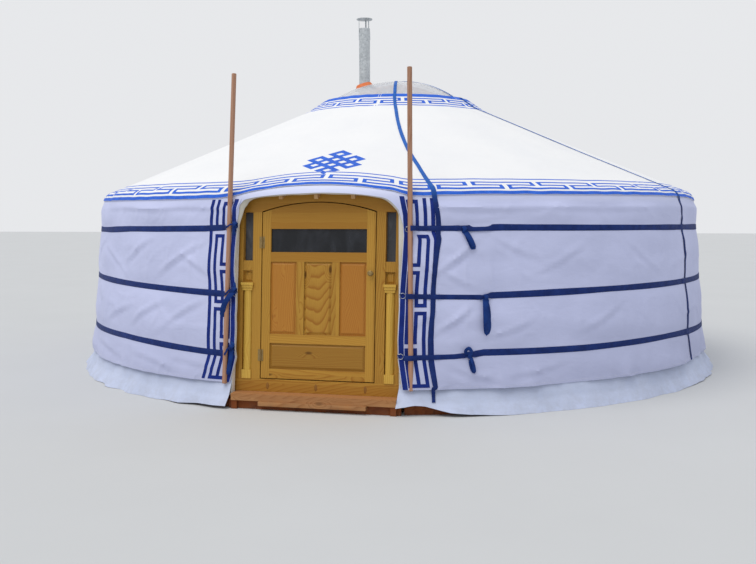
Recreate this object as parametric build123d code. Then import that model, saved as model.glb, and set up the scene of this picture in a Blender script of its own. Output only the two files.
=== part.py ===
"""A round felt tent with a canvas cover, a lattice wall and a panelled door, on a timber floor.

Millimetres. The origin is on the ground at the middle of the tent. +Z is up and the door faces -Y.
An azimuth is in degrees round the tent from the door, positive towards +X. The outline is the outside
of the canvas, and a depth is measured inwards from it, square to the surface.
"""
import os
from math import asin, cos, degrees, radians, sin, sqrt, tan

from build123d import *

# Outline of the tent
corner_radius = 3098.0      # where the line of the roof meets the line of the wall
corner_height = 1714.0
wall_lean = 4.5             # degrees that the wall and the door lean inwards
roof_pitch = 23.0           # degrees
eave_round = 130.0          # radius of the rounded eave
collar_radius = 980.0       # the roof gets steeper inside this radius, up to the crown
collar_pitch = 34.5         # degrees
collar_round = 90.0
crown_edge_radius = 795.0   # upper edge of the roof cover

# Layers of the wall and the roof
canvas = 4.0
felt = 35.0
slack = 1.0                 # between one layer and the next
seat = 0.3                  # between a piece and what it rests on

# Floor
joist_height = 70.0
joist_width = 70.0
joist_count = 11
joist_line = 2940.0         # distance of the outer joists from the middle
deck_board = 30.0
rim_board = 25.0
rim_segments = 8

# Lattice wall and roof poles
slat_width = 32.0
slat_thickness = 11.0
slat_lap = 0.5              # the two layers of slats are pressed into each other by this much
lattice_sections = 5
columns_per_section = 11
lattice_rows = 4
slat_tail = 65.0            # what a slat reaches past its last crossing
lattice_start = 13.7        # azimuth of the lattice's end beside the door
roof_pole_width = 30.0
roof_pole_height = 40.0
pole_foot_radius = 3042.0
door_roof_poles = 5

# Crown wheel and dome
crown_outer = 790.0
crown_inner = 690.0
crown_ring_height = 78.0
socket_depth = 25.0
curb_outer = 783.0
curb_inner = 700.0
curb_drop = 15.0            # top of the curb below the edge of the roof cover
rib_width = 35.0
rib_depth = 40.0
rib_rise = 270.0
rib_spacing = 260.0
dome_rise = 240.0
dome_radius = 758.0
dome_flange = 22.0
dome_wall = 4.0

# Stovepipe
pipe_x = -360.0
pipe_radius = 60.0
pipe_wall = 2.0
pipe_bottom = 2300.0
pipe_top = 3561.0
clamp_low = 3442.0
clamp_height = 76.0
clamp_wall = 3.0
strut_count = 3
strut_width = 16.0
cap_radius = 87.0
cap_height = 3658.0
cap_thickness = 22.0
flashing_foot = 106.0
flashing_neck = 82.0
flashing_height = 48.0
flashing_wall = 5.0

# Wall cover, skirt, belts, straps and the poles beside the door
cover_opening = 12.2        # azimuth of the cover's and the felt's edge beside the door
cover_edge = 1688.0         # height of the roof cover's edge, on the rounded eave
wall_cover_top = 1704.0
cover_arch_spring = 1560.0  # where the arch of the wall cover's opening starts
cover_arch_rise = 112.0
hem_height = 200.0
wall_felt_top = 1668.0
skirt_bend_radius = 3245.0
skirt_bend_height = 100.0
skirt_foot_radius = 3325.0
skirt_opening = 13.0
skirt_segments = 8
belt_heights = {"belt_top": 1420.0, "belt_middle": 922.0, "belt_bottom": 469.0}
belt_width = 52.0
webbing = 2.5
strap_width = 45.0
strap_thickness = 2.0
strap_gap = 0.5
strap_azimuths = {"crown_strap_front": 19.8, "crown_strap_side": 67.5}
strap_offsets = {"crown_strap_front": -137.0, "crown_strap_side": 0.0}    # from the tent's axis
strap_end_height = 205.0
strap_contact = 0.68        # share of the dome's radius where a strap leaves the dome
belt_leaves_wall = 16.8     # azimuth where a belt starts to rise over the pole
side_pole_radius = 19.0
side_pole_low = 190.0
side_pole_high = 2650.0
side_pole_azimuths = {"door_pole_left": -13.2, "door_pole_right": 13.8}

# Doorway, in the leaning plane of the door: x across, y inwards, z up along the frame
door_setback = 144.0        # front of the frame inside the outline
frame_half_width = 713.0
frame_depth = 100.0
stile_inner = 625.0         # inner edge of the frame's outer stiles
post_outer = 545.0          # outer edge of the posts that the leaf closes between
frame_rail_top = 226.0
side_glass_bottom = 1170.0
side_glass_top = 1556.0
head_rise = 60.0            # of the arched top of the frame, above its ends
head_end_height = 1660.0
glass = 6.0
sill_half_width = 668.0
sill_height = 125.0
sill_board = 55.0
sill_reach = 110.0          # in front of the frame
sill_back = -2970.0
step_half_width = 435.0
step_board = 33.0
step_reach = 20.0           # in front of the sill
base_half_width = 698.0
base_board = 30.0
base_setback = 35.0         # behind the front of the sill
bracket_width = 46.0
bracket_reach = 28.0

# Door leaf
leaf_half_width = 464.0
leaf_gap = 7.0              # between the leaf and the frame
leaf_thickness = 38.0
leaf_front = 2.0
leaf_corner = 1555.0        # top of the leaf at its sides
leaf_arch = 76.0            # rise of the leaf's arched top
leaf_stile = 70.5
bottom_rail = 76.0
lower_panel = 204.0
middle_rail = 74.0
upper_panel = 575.0
lock_rail = 77.0
window_height = 184.0
muntin_width = 65.0
middle_panel = 226.0
panel_thickness = 16.0
panel_field = 8.0           # rise of the field of a raised panel
panel_margin = 24.0
hinge_heights = [415.0, 1315.0]
hinge_height = 92.0
hinge_plate = 2.5
hinge_plate_width = 14.0
knuckle_radius = 6.5
hinge_pin = 3.5
hinge_play = 0.06
hinge_stand = 6.0           # the hinge's axis in front of the frame
knob_x = 430.0
knob_height = 1079.0
knob_radius = 21.0
knob_reach = 48.0
spindle_radius = 8.0

# Pilasters beside the leaf
pilaster_x = 585.0
pilaster_radius = 39.0
pilaster_top = 930.0
capital_height = 64.0
capital_reach = 20.0
small_panel_top = 1090.0
side_board = 24.0
side_board_depth = 32.0
plinth_height = 70.0

lean = radians(wall_lean)
pitch = radians(roof_pitch)
wall_cover_depth = canvas + slack
wall_felt_depth = wall_cover_depth + canvas + slack
lattice_depth = wall_felt_depth + felt + slack
roof_felt_depth = canvas + slack
pole_depth = roof_felt_depth + felt + slack
deck_top = joist_height + deck_board


def outline_radius(height):
    """Radius of the leaning wall's outline at a height."""
    return corner_radius + (corner_height - height) * tan(lean)


def roof_height(radius):
    """Height of the straight roof's outline at a radius."""
    return corner_height + (corner_radius - radius) * tan(pitch)


collar_height = roof_height(collar_radius)
crown_edge_height = collar_height + (collar_radius - crown_edge_radius) * tan(radians(collar_pitch))
curb_top = crown_edge_height - curb_drop


def shifted(points, depth):
    """The line of points moved inwards by a depth, with its corners kept sharp."""
    moved = []
    lines = []
    for (r1, z1), (r2, z2) in zip(points[:-1], points[1:]):
        length = sqrt((r2 - r1) ** 2 + (z2 - z1) ** 2)
        inward = ((z2 - z1) / length * depth, (r1 - r2) / length * depth)
        lines.append(((r1 + inward[0], z1 + inward[1]), (r2 + inward[0], z2 + inward[1])))
    moved.append(lines[0][0])
    for (a, b), (c, d) in zip(lines[:-1], lines[1:]):
        ab = (b[0] - a[0], b[1] - a[1])
        cd = (d[0] - c[0], d[1] - c[1])
        along = ((c[0] - a[0]) * cd[1] - (c[1] - a[1]) * cd[0]) / (ab[0] * cd[1] - ab[1] * cd[0])
        moved.append((a[0] + along * ab[0], a[1] + along * ab[1]))
    moved.append(lines[-1][1])
    return moved


def rounds_at(rounds, depth):
    """Radii of the corners of a layer at a depth. A positive round is convex, a negative one is hollow."""
    return [max(abs(r - depth), slack) if r > 0 else abs(r) + depth for r in rounds]


def above(height):
    """The part of a section's plane over a height."""
    return Pos(0, height + corner_height) * Rectangle(4 * corner_radius, 2 * corner_height)


def below(height):
    """The part of a section's plane under a height."""
    return above(height - 2 * corner_height)


def layer_face(points, rounds, depth, thickness, inner_rounds=None):
    """Section of one layer, whose outside is depth inside the line of points."""
    outside = shifted(points, depth)
    inside = shifted(points, depth + thickness)
    edges = FilletPolyline(*outside, radius=rounds_at(rounds, depth)).edges()
    inner_radii = inner_rounds or rounds_at(rounds, depth + thickness)
    edges += FilletPolyline(*inside, radius=inner_radii).edges()
    edges += [Line(outside[0], inside[0]).edge(), Line(outside[-1], inside[-1]).edge()]
    return make_face(edges)


def roof_line(low):
    """Outline from the crown down the roof and the wall to a height, and the rounds of its corners."""
    points = [(crown_edge_radius, crown_edge_height), (collar_radius, collar_height),
              (corner_radius, corner_height), (outline_radius(low), low)]
    return points, [-collar_round, eave_round]


def turned(face, start=0.0, end=360.0):
    """A section in radius and height, turned round the tent from one azimuth to another."""
    return Rot(0, 0, start - 90) * revolve(Plane.XZ * face, Axis.Z, end - start)


def segments(face, start, end, count):
    """The same section turned as several lengths with a seam between them."""
    seam = degrees(seat / corner_radius)
    step = (end - start) / count
    return [turned(face, start + i * step + seam, start + (i + 1) * step - seam) for i in range(count)]


def wall_face(low, high, depth, thickness):
    """Section of a layer of the leaning wall."""
    return make_face(Polyline(
        (outline_radius(low) - depth, low), (outline_radius(high) - depth, high),
        (outline_radius(high) - depth - thickness, high), (outline_radius(low) - depth - thickness, low),
        close=True))


def block(x, y, z):
    """A box between two values on each axis."""
    size = (x[1] - x[0], y[1] - y[0], z[1] - z[0])
    return Pos((x[0] + x[1]) / 2, (y[0] + y[1]) / 2, (z[0] + z[1]) / 2) * Box(*size)


def wall_place(azimuth, height):
    """Frame on the outline: x along the wall, y inwards and z up the leaning wall."""
    return Rot(0, 0, azimuth) * Pos(0, -outline_radius(height), height) * Rot(-wall_lean, 0, 0)


def both_sides(shape):
    """A piece and its mirror image on the other side of the door."""
    return [shape, mirror(shape, about=Plane.YZ)]


# Floor

def floor_joists():
    """Parallel joists, each as long as the round floor allows."""
    reach = outline_radius(deck_top) - lattice_depth - 2 * seat
    spacing = 2 * joist_line / (joist_count - 1)
    joists = []
    for i in range(joist_count):
        y = -joist_line + i * spacing
        half = sqrt(reach ** 2 - (abs(y) + joist_width / 2) ** 2)
        joists.append(block((-half, half), (y - joist_width / 2, y + joist_width / 2),
                            (0, joist_height - seat)))
    return joists


def deck_radius():
    """Outer edge of the deck, under the lattice."""
    return outline_radius(deck_top) - lattice_depth + slack


def floor_deck():
    """Round deck, cut straight behind the sill."""
    disc = Pos(0, 0, joist_height) * Cylinder(
        deck_radius(), deck_board - seat, align=(Align.CENTER, Align.CENTER, Align.MIN))
    notch = block((-frame_half_width - seat, frame_half_width + seat), (-2 * deck_radius(), sill_back + seat),
                  (0, 2 * deck_top))
    return disc - notch


def floor_rim():
    """Bent board round the edge of the floor, stopping at the door."""
    inner = deck_radius() + seat
    face = Pos(inner + rim_board / 2, (deck_top - seat) / 2) * Rectangle(rim_board, deck_top - seat)
    start = degrees(asin((frame_half_width + seat) / inner))
    return segments(face, start, 360 - start, rim_segments)


# Lattice wall and roof poles

def lattice_pitch():
    """Azimuth from one crossing of the slats to the next."""
    return (360 - 2 * lattice_start) / (lattice_sections * columns_per_section)


def roof_pole(play=0.0):
    """One roof pole in the plane of azimuth 90, larger all round by the play."""
    tip_radius = crown_outer - socket_depth
    foot = pole_foot_radius + play
    tip = tip_radius - play
    middle = (foot + tip) / 2
    height = roof_height(middle) - (pole_depth + roof_pole_height / 2) / cos(pitch)
    beam = Box((foot - tip) / cos(pitch), roof_pole_width + 2 * play, roof_pole_height + 2 * play)
    return Pos(middle, 0, height) * Rot(0, roof_pitch, 0) * beam


def pole_azimuths():
    """One pole over each head of the lattice, and a few over the door."""
    count = lattice_sections * columns_per_section
    heads = [lattice_start + (i + 0.5) * lattice_pitch() for i in range(count)]
    gap = 2 * heads[0] / (door_roof_poles + 1)
    return heads + [-heads[0] + (i + 1) * gap for i in range(door_roof_poles)]


def slat(layer, section_start, column, direction):
    """One slat: what a flat slab through the wall's thickness cuts out of a layer of the wall."""
    low = deck_top + slat_tail
    high = lattice_top() - slat_tail
    rise = high - low
    middle = (low + high) / 2
    depth = lattice_depth + slat_thickness
    radius = outline_radius(middle) - depth
    run = radians(lattice_pitch()) * radius * lattice_rows
    tilt = degrees(asin(run / sqrt(run ** 2 + (rise / cos(lean)) ** 2)))
    azimuth = section_start + (column + 0.5) * lattice_pitch()
    slab = Box(slat_width, 8 * slat_thickness * lattice_rows, 2 * rise)
    place = Rot(0, 0, azimuth) * Pos(0, -radius, middle) * Rot(-wall_lean, 0, 0) * Rot(0, direction * tilt, 0)
    return layer & (place * slab)


def lattice_top():
    """Upper end of the slats, just under the roof felt."""
    head = pole_foot_radius - slat_thickness
    return roof_height(head) - (pole_depth + roof_pole_height) / cos(pitch) + roof_pole_height * 0.75


def lattice_section():
    """One section of the lattice wall: slats that lean each way in two layers, notched for the poles."""
    start = lattice_start + degrees(seat / corner_radius)
    end = lattice_start + columns_per_section * lattice_pitch() - degrees(seat / corner_radius)
    top = lattice_top()
    reach = lattice_rows // 2
    bars = []
    for direction, depth in ((1, lattice_depth), (-1, lattice_depth + slat_thickness - slat_lap)):
        layer = turned(wall_face(deck_top, top, depth, slat_thickness + slat_lap), start, end)
        for column in range(-reach, columns_per_section + reach):
            bar = slat(layer, lattice_start, column, direction)
            bars += bar.solids()
    fused = bars[0].fuse(*bars[1:])
    cutters = []
    for i in range(columns_per_section):
        azimuth = lattice_start + (i + 0.5) * lattice_pitch()
        cutters.append(Rot(0, 0, azimuth - 90) * roof_pole(seat))
    return fused - cutters


def roof_poles():
    """All the roof poles, from the lattice heads to the sockets of the crown wheel."""
    return [Rot(0, 0, azimuth - 90) * roof_pole() for azimuth in pole_azimuths()]


# Crown wheel, dome and stovepipe

def crown_ring_middle():
    """Height of the poles' line where they enter the crown ring."""
    return roof_height(crown_outer) - (pole_depth + roof_pole_height / 2) / cos(pitch)


def crown_ring():
    """Lower ring of the crown wheel with a socket for each roof pole."""
    low = crown_ring_middle() - crown_ring_height / 2
    face = Pos((crown_outer + crown_inner) / 2, low + crown_ring_height / 2) * RectangleRounded(
        crown_outer - crown_inner, crown_ring_height, 8)
    ring = turned(face)
    return ring - [Rot(0, 0, azimuth - 90) * roof_pole(seat) for azimuth in pole_azimuths()]


def crown_curb():
    """Upper ring of the crown wheel, which carries the dome."""
    low = crown_ring_middle() + crown_ring_height / 2 + seat
    height = curb_top - low
    face = Pos((curb_outer + curb_inner) / 2, low + height / 2) * Rectangle(curb_outer - curb_inner, height)
    return turned(face)


def crown_ribs():
    """Two pairs of arched ribs that cross over the middle of the crown."""
    spring = crown_ring_middle() + crown_ring_height / 4
    apex = spring + rib_rise
    over = ThreePointArc((-crown_inner, spring), (0, apex), (crown_inner, spring))
    under = ThreePointArc((-crown_inner, spring - rib_depth), (0, apex - rib_depth),
                          (crown_inner, spring - rib_depth))
    ends = [Line(over @ 0, under @ 0), Line(over @ 1, under @ 1)]
    face = make_face([over.edge(), under.edge(), ends[0].edge(), ends[1].edge()])
    rib = extrude(Plane.XZ * face, rib_width / 2, both=True)
    pair = [Pos(0, side * rib_spacing / 2, 0) * rib for side in (-1, 1)]
    pair += [Rot(0, 0, 90) * one for one in pair]
    fused = pair[0].fuse(*pair[1:])
    inside = Pos(0, 0, crown_ring_middle()) * Cylinder(crown_inner - seat, 4 * rib_rise)
    return fused & inside


ball_radius = (dome_radius ** 2 + dome_rise ** 2) / (2 * dome_rise)
ball_middle = curb_top + seat + dome_rise - ball_radius


def dome_ball(radius_change=0.0):
    """Sphere that the outside of the dome is part of."""
    return Pos(0, 0, ball_middle) * Sphere(ball_radius + radius_change)


def crown_dome():
    """Clear dome with a flat flange on the curb and a hole for the stovepipe."""
    foot = curb_top + seat
    rim = dome_radius + dome_flange
    above = Pos(0, 0, foot + dome_rise) * Cylinder(rim, 2 * dome_rise)
    shell = (dome_ball() - dome_ball(-dome_wall)) & above
    flange = Pos(0, 0, foot + dome_wall / 2) * Cylinder(rim, dome_wall)
    flange -= Pos(0, 0, foot) * Cylinder(dome_radius - 3 * dome_wall, 4 * dome_wall)
    hole = Pos(pipe_x, 0, foot + dome_rise) * Cylinder(pipe_radius + 2 * dome_wall, 2 * dome_rise)
    return (shell + flange) - hole


def stovepipe():
    """Straight stovepipe, open at both ends."""
    height = pipe_top - pipe_bottom
    tube = Cylinder(pipe_radius, height) - Cylinder(pipe_radius - pipe_wall, 2 * height)
    return Pos(pipe_x, 0, pipe_bottom + height / 2) * tube


def pipe_flashing():
    """Boot of sheet rubber on the dome, square to its slope, with the pipe upright through it."""
    slope = degrees(asin(pipe_x / ball_radius))
    base = sqrt(ball_radius ** 2 - flashing_foot ** 2) + 2 * seat
    on_base = (Align.CENTER, Align.CENTER, Align.MIN)
    outside = Cone(flashing_foot, flashing_neck, flashing_height, align=on_base)
    inside = Cone(flashing_foot - flashing_wall, flashing_neck - flashing_wall,
                  flashing_height - flashing_wall, align=on_base)
    boot = Pos(0, 0, ball_middle) * Rot(0, slope, 0) * Pos(0, 0, base) * (outside - inside)
    bore = Pos(pipe_x, 0, curb_top) * Cylinder(pipe_radius + seat, 4 * dome_rise)
    return boot - bore


def pipe_clamp():
    """Clamp round the pipe with struts up to the cap."""
    band = Cylinder(pipe_radius + seat + clamp_wall, clamp_height) - Cylinder(pipe_radius + seat, 2 * clamp_height)
    band = Pos(pipe_x, 0, clamp_low + clamp_height / 2) * band
    pieces = [band]
    for i in range(strut_count):
        strut = block((pipe_radius + 2 * seat, pipe_radius + seat + clamp_wall), (-strut_width / 2, strut_width / 2),
                      (clamp_low + clamp_height / 2, cap_height - seat))
        pieces.append(Pos(pipe_x, 0, 0) * Rot(0, 0, 90 + i * 360 / strut_count) * strut)
    return pieces[0].fuse(*pieces[1:])


def pipe_cap():
    """Low cone over the pipe that keeps the rain out."""
    lip = Pos(pipe_x, 0, cap_height) * Cylinder(
        cap_radius, cap_thickness / 3, align=(Align.CENTER, Align.CENTER, Align.MIN))
    cone = Pos(pipe_x, 0, cap_height + cap_thickness / 3) * Cone(
        cap_radius, cap_radius / 6, cap_thickness * 2 / 3, align=(Align.CENTER, Align.CENTER, Align.MIN))
    return lip + cone


# Felt, canvas, belts, straps and poles

def roof_felt():
    """Roof felt in four quarters, cut back along the eave where the wall cover is tucked in over it."""
    points, rounds = roof_line(0)
    face = layer_face(points, rounds, roof_felt_depth, felt, [collar_round, slack])
    tucked = layer_face(points, rounds, 0.0, wall_felt_depth) - above(wall_cover_top + slack)
    inside = Pos(0, crown_edge_height) * Rectangle(2 * (curb_outer + slack), crown_edge_height)
    return segments(face - below(wall_felt_top + seat) - tucked - inside, 0, 360, 4)


def wall_felt():
    """Wall felt in four lengths from one side of the door to the other, standing on the rim board."""
    points, rounds = roof_line(0)
    face = layer_face(points, rounds, wall_felt_depth, felt, [collar_round, slack])
    return segments(face - above(wall_felt_top) - below(deck_top), cover_opening, 360 - cover_opening, 4)


def wall_cover():
    """Canvas round the wall, from the hem up under the edge of the roof cover, with an arch over the door."""
    points, rounds = roof_line(0)
    face = layer_face(points, rounds, wall_cover_depth, canvas)
    cover = turned(face - above(wall_cover_top) - below(hem_height))
    low_half, half = [outline_radius(z) * sin(radians(cover_opening)) for z in (deck_top, cover_arch_spring)]
    opening = make_face(Polyline((-low_half, deck_top), (-half, cover_arch_spring), (half, cover_arch_spring),
                                 (low_half, deck_top), close=True))
    opening += Pos(0, cover_arch_spring) * Ellipse(half, cover_arch_rise)
    cutter = extrude(Plane.XZ * opening, 4 * door_setback)
    return cover - Pos(0, 2 * door_setback - outline_radius(0), 0) * cutter


def roof_cover():
    """Canvas over the roof and round the eave."""
    points, rounds = roof_line(0)
    return turned(layer_face(points, rounds, 0.0, canvas) - below(cover_edge))


def skirt():
    """Flared canvas skirt from the hem to the ground, in lengths."""
    top = outline_radius(hem_height) - wall_cover_depth
    face = make_face(Polyline(
        (top, hem_height - seat), (skirt_bend_radius, skirt_bend_height), (skirt_foot_radius, 0),
        (skirt_foot_radius - 1.5 * canvas, 0), (skirt_bend_radius - canvas, skirt_bend_height),
        (top - canvas, hem_height - seat), close=True))
    return segments(face, skirt_opening, 360 - skirt_opening, skirt_segments)


def belt_end(height, pole_azimuth):
    """End of a belt, over the pole beside the door to the edge of the cover."""
    lift = strap_gap + strap_thickness + seat
    over_pole = 2 * side_pole_radius + strap_gap + seat
    grip = degrees(0.6 * side_pole_radius / outline_radius(height))
    marks = [(belt_leaves_wall + 0.5, lift), (belt_leaves_wall - 0.2, lift + seat),
             (pole_azimuth + grip, over_pole), (pole_azimuth - grip, over_pole), (cover_opening, lift)]
    middle = (belt_leaves_wall + cover_opening) / 2
    radius = outline_radius(height)
    inside = []
    for azimuth, out in marks:
        angle = radians(azimuth - middle)
        inside.append(((radius + out) * sin(angle), radius - (radius + out) * cos(angle)))
    outside = shifted(inside, -webbing)
    face = make_face(Polyline(*inside, *reversed(outside), close=True))
    return wall_place(middle, height) * extrude(face, belt_width / 2, both=True)


def belt(height):
    """A belt of webbing round the wall, held off it only by the straps that it presses down."""
    lift = strap_gap + strap_thickness + seat
    half = belt_width / 2 * cos(lean)
    face = wall_face(height - half, height + half, -lift - webbing, webbing)
    ring = turned(face, belt_leaves_wall, 360 - belt_leaves_wall)
    right = belt_end(height, side_pole_azimuths["door_pole_right"])
    left = mirror(belt_end(height, -side_pole_azimuths["door_pole_left"]), about=Plane.YZ)
    return ring.fuse(right, left)


def crown_strap(azimuth, offset, dome_lift):
    """A strap over the dome and down both sides of the tent: what a slab cuts out of a thin shell."""
    leaves_dome = strap_contact * dome_radius
    line, rounds = roof_line(strap_end_height)
    start = (leaves_dome, ball_middle + sqrt((ball_radius + dome_lift) ** 2 - leaves_dome ** 2))
    edges = []
    tops = []
    ends = []
    for depth in (-strap_gap, -strap_gap - strap_thickness):
        points = shifted([start] + line, depth)
        edges += FilletPolyline(*points, radius=rounds_at([collar_round / 4] + rounds, depth)).edges()
        reach, height = points[0]
        top = ball_middle + ball_radius + dome_lift - depth
        ball = (reach ** 2 + (top - height) ** 2) / (2 * (top - height))
        half_turn = asin(reach / ball) / 2
        middle = (ball * sin(half_turn), top - ball * (1 - cos(half_turn)))
        edges.append(ThreePointArc((0, top), middle, points[0]).edge())
        tops.append((0, top))
        ends.append(points[-1])
    edges += [Line(*tops).edge(), Line(*ends).edge()]
    shell = revolve(Plane.XZ * make_face(edges), Axis.Z)
    slab = Pos(0, offset, 0) * Box(4 * corner_radius, strap_width, 4 * corner_radius)
    return Rot(0, 0, azimuth - 90) * (shell & slab)


def door_pole(azimuth):
    """Round pole laid against the edge of the cover."""
    length = (side_pole_high - side_pole_low) / cos(lean)
    rod = Cylinder(side_pole_radius, length, align=(Align.CENTER, Align.CENTER, Align.MIN))
    rod = chamfer(rod.edges().filter_by(GeomType.CIRCLE), 3)
    return wall_place(azimuth, side_pole_low) * Pos(0, -side_pole_radius - strap_gap, 0) * rod


# Doorway

door_place = Pos(0, door_setback - outline_radius(0), 0) * Rot(-wall_lean, 0, 0)
post_inner = leaf_half_width + leaf_gap


def arch_face(half_width, low, end_height, rise):
    """An upright board with an arched top."""
    arc = ThreePointArc((-half_width, end_height), (0, end_height + rise), (half_width, end_height))
    sides = Polyline((-half_width, end_height), (-half_width, low), (half_width, low), (half_width, end_height))
    return Plane.XZ * make_face(arc.edges() + sides.edges())


def leaf_outline(grow=0.0):
    """Face of the leaf's arched outline, larger all round by grow."""
    low = frame_rail_top + leaf_gap - grow
    if grow:
        low -= frame_rail_top
    return arch_face(leaf_half_width + grow, low, leaf_corner + grow, leaf_arch)


def upright(x, y, z):
    """A block in the plane of the door."""
    return door_place * block(x, y, z)


def frame_bottom_rail():
    """Rail across the foot of the frame, cut level where it sits on the sill."""
    rail = upright((-frame_half_width, frame_half_width), (0, frame_depth), (0, frame_rail_top))
    below = block((-2 * frame_half_width, 2 * frame_half_width), (-2 * corner_radius, 0),
                  (-sill_height, sill_height + seat))
    return rail - below


def frame_stiles():
    """Outer stiles of the frame."""
    return both_sides(upright((stile_inner, frame_half_width), (0, frame_depth), (frame_rail_top, side_glass_top)))


def frame_posts():
    """Posts that the leaf closes between."""
    return both_sides(upright((post_inner, post_outer), (0, frame_depth), (frame_rail_top, side_glass_top)))


def frame_head():
    """Arched head over the leaf and the side lights, notched for the roof poles that lie on it."""
    board = arch_face(frame_half_width, side_glass_top, head_end_height, head_rise)
    head = extrude(board, -frame_depth) - extrude(leaf_outline(leaf_gap), -2 * frame_depth, both=True)
    poles = [Rot(0, 0, azimuth - 90) * roof_pole(seat) for azimuth in pole_azimuths()[-door_roof_poles:]]
    return door_place * head - poles


def side_glass():
    """Narrow panes beside the leaf."""
    middle = frame_depth / 2
    return both_sides(upright((post_outer + seat, stile_inner - seat), (middle - glass / 2, middle + glass / 2),
                              (side_glass_bottom + seat, side_glass_top - seat)))


def raised_panel(width, height, thickness, field, margin):
    """Panel with a raised field, its front at y = 0 without the field, standing on z = 0."""
    board = block((-width / 2, width / 2), (0, thickness), (0, height))
    top = Pos(0, 0, height / 2) * (Plane.XZ * Rectangle(width - 2 * margin / 3, height - 2 * margin / 3))
    return board + extrude(top, field, taper=60)


def side_panels():
    """Boards under the side lights, with a rail and a small raised panel at the top."""
    left = post_outer + seat
    right = stile_inner - seat
    back = side_board_depth + side_board
    board = block((left, right), (side_board_depth, back), (frame_rail_top + seat, side_glass_bottom))
    rail = block((left, right), (leaf_front, back), (small_panel_top, side_glass_bottom))
    low = pilaster_top + capital_height + seat
    panel = Pos((left + right) / 2, side_board_depth - panel_field, low) * raised_panel(
        right - left, small_panel_top - low, back - side_board_depth, panel_field, panel_margin)
    return both_sides(door_place * (board + rail + panel))


def side_pilasters():
    """Half-round pilasters with a plinth and a moulded capital."""
    foot = frame_rail_top + seat
    shaft = Pos(pilaster_x, side_board_depth - seat, foot) * Cylinder(
        pilaster_radius, pilaster_top - foot, align=(Align.CENTER, Align.CENTER, Align.MIN))
    front = block((pilaster_x - 2 * pilaster_radius, pilaster_x + 2 * pilaster_radius),
                  (-2 * pilaster_radius, side_board_depth - seat), (0, side_glass_bottom))
    shaft &= front
    reach = side_board_depth - pilaster_radius
    plinth = block((pilaster_x - pilaster_radius, pilaster_x + pilaster_radius),
                   (reach - seat, side_board_depth - seat), (foot, foot + plinth_height))
    steps = 3
    capital = []
    for i in range(steps):
        half = pilaster_radius + 2 + i * 5
        low = pilaster_top + i * capital_height / steps
        capital.append(block((pilaster_x - half, pilaster_x + half),
                             (reach - 2 - i * (capital_reach - 2) / steps, -seat),
                             (low, low + capital_height / steps)))
    neck = block((pilaster_x - pilaster_radius, pilaster_x + pilaster_radius), (-seat, side_board_depth - seat),
                 (pilaster_top, pilaster_top + capital_height))
    whole = shaft.fuse(plinth, neck, *capital)
    return both_sides(door_place * whole)


def door_sill():
    """Thick sill board under the frame, in front of the deck."""
    front = door_setback - outline_radius(0) - sill_reach
    return block((-sill_half_width, sill_half_width), (front, sill_back),
                 (sill_height - sill_board, sill_height))


def step_front():
    """Step board under the sill, a little further out."""
    front = door_setback - outline_radius(0) - sill_reach
    top = sill_height - sill_board - seat
    return block((-step_half_width, step_half_width), (front - step_reach, front + base_setback - seat),
                 (top - step_board, top))


def door_base_board():
    """Board on the ground under the sill, with a bracket near each end."""
    front = door_setback - outline_radius(0) - sill_reach + base_setback
    top = sill_height - sill_board - seat
    board = block((-base_half_width, base_half_width), (front, front + base_board), (0, top))
    bracket = block((sill_half_width - bracket_width, sill_half_width), (front - bracket_reach, front + 1),
                    (0, top))
    return board.fuse(*both_sides(bracket))


# Door leaf

leaf_low = frame_rail_top + leaf_gap
inner_half = leaf_half_width - leaf_stile
lower_panel_low = leaf_low + bottom_rail
middle_rail_low = lower_panel_low + lower_panel
upper_panel_low = middle_rail_low + middle_rail
lock_rail_low = upper_panel_low + upper_panel
window_low = lock_rail_low + lock_rail
window_high = window_low + window_height
leaf_depth = (leaf_front, leaf_front + leaf_thickness)


def leaf_board(x, z):
    """A member of the leaf, as thick as the leaf."""
    return block(x, leaf_depth, z)


def leaf_solid():
    """The whole leaf's outline as one slab, to trim its members to."""
    return Pos(0, leaf_front, 0) * extrude(leaf_outline(), -leaf_thickness)


def leaf_stiles():
    """Stiles of the leaf, cut to its arched top."""
    tall = leaf_corner + leaf_arch
    left = leaf_board((-leaf_half_width, -inner_half), (leaf_low, tall)) & leaf_solid()
    right = leaf_board((inner_half, leaf_half_width), (leaf_low, tall)) & leaf_solid()
    bore = Pos(knob_x, leaf_front + leaf_thickness / 2, knob_height) * Rot(90, 0, 0) * Cylinder(
        spindle_radius + seat, 2 * leaf_thickness)
    return [door_place * left, door_place * (right - bore)]


def leaf_top_rail():
    """Arched top rail of the leaf."""
    rail = leaf_board((-inner_half, inner_half), (window_high, leaf_corner + leaf_arch)) & leaf_solid()
    return door_place * rail


def leaf_rails():
    """Bottom, middle and lock rails."""
    spans = [(leaf_low, lower_panel_low), (middle_rail_low, upper_panel_low), (lock_rail_low, window_low)]
    return [door_place * leaf_board((-inner_half, inner_half), span) for span in spans]


def leaf_muntins():
    """The two upright bars between the upper panels."""
    edges = (middle_panel / 2, middle_panel / 2 + muntin_width)
    return both_sides(door_place * leaf_board(edges, (upper_panel_low, lock_rail_low)))


def leaf_panels():
    """Three upper panels and a wide lower one."""
    side_left = middle_panel / 2 + muntin_width
    side_width = inner_half - side_left
    spots = [(0.0, middle_panel, upper_panel_low, upper_panel),
             (side_left + side_width / 2, side_width, upper_panel_low, upper_panel),
             (-side_left - side_width / 2, side_width, upper_panel_low, upper_panel),
             (0.0, 2 * inner_half, lower_panel_low, lower_panel)]
    depth = leaf_front + (leaf_thickness - panel_thickness) / 2
    panels = []
    for x, width, low, height in spots:
        panel = raised_panel(width - 2 * seat, height - 2 * seat, panel_thickness, panel_field, panel_margin)
        panels.append(door_place * Pos(x, depth, low + seat) * panel)
    return panels


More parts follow.
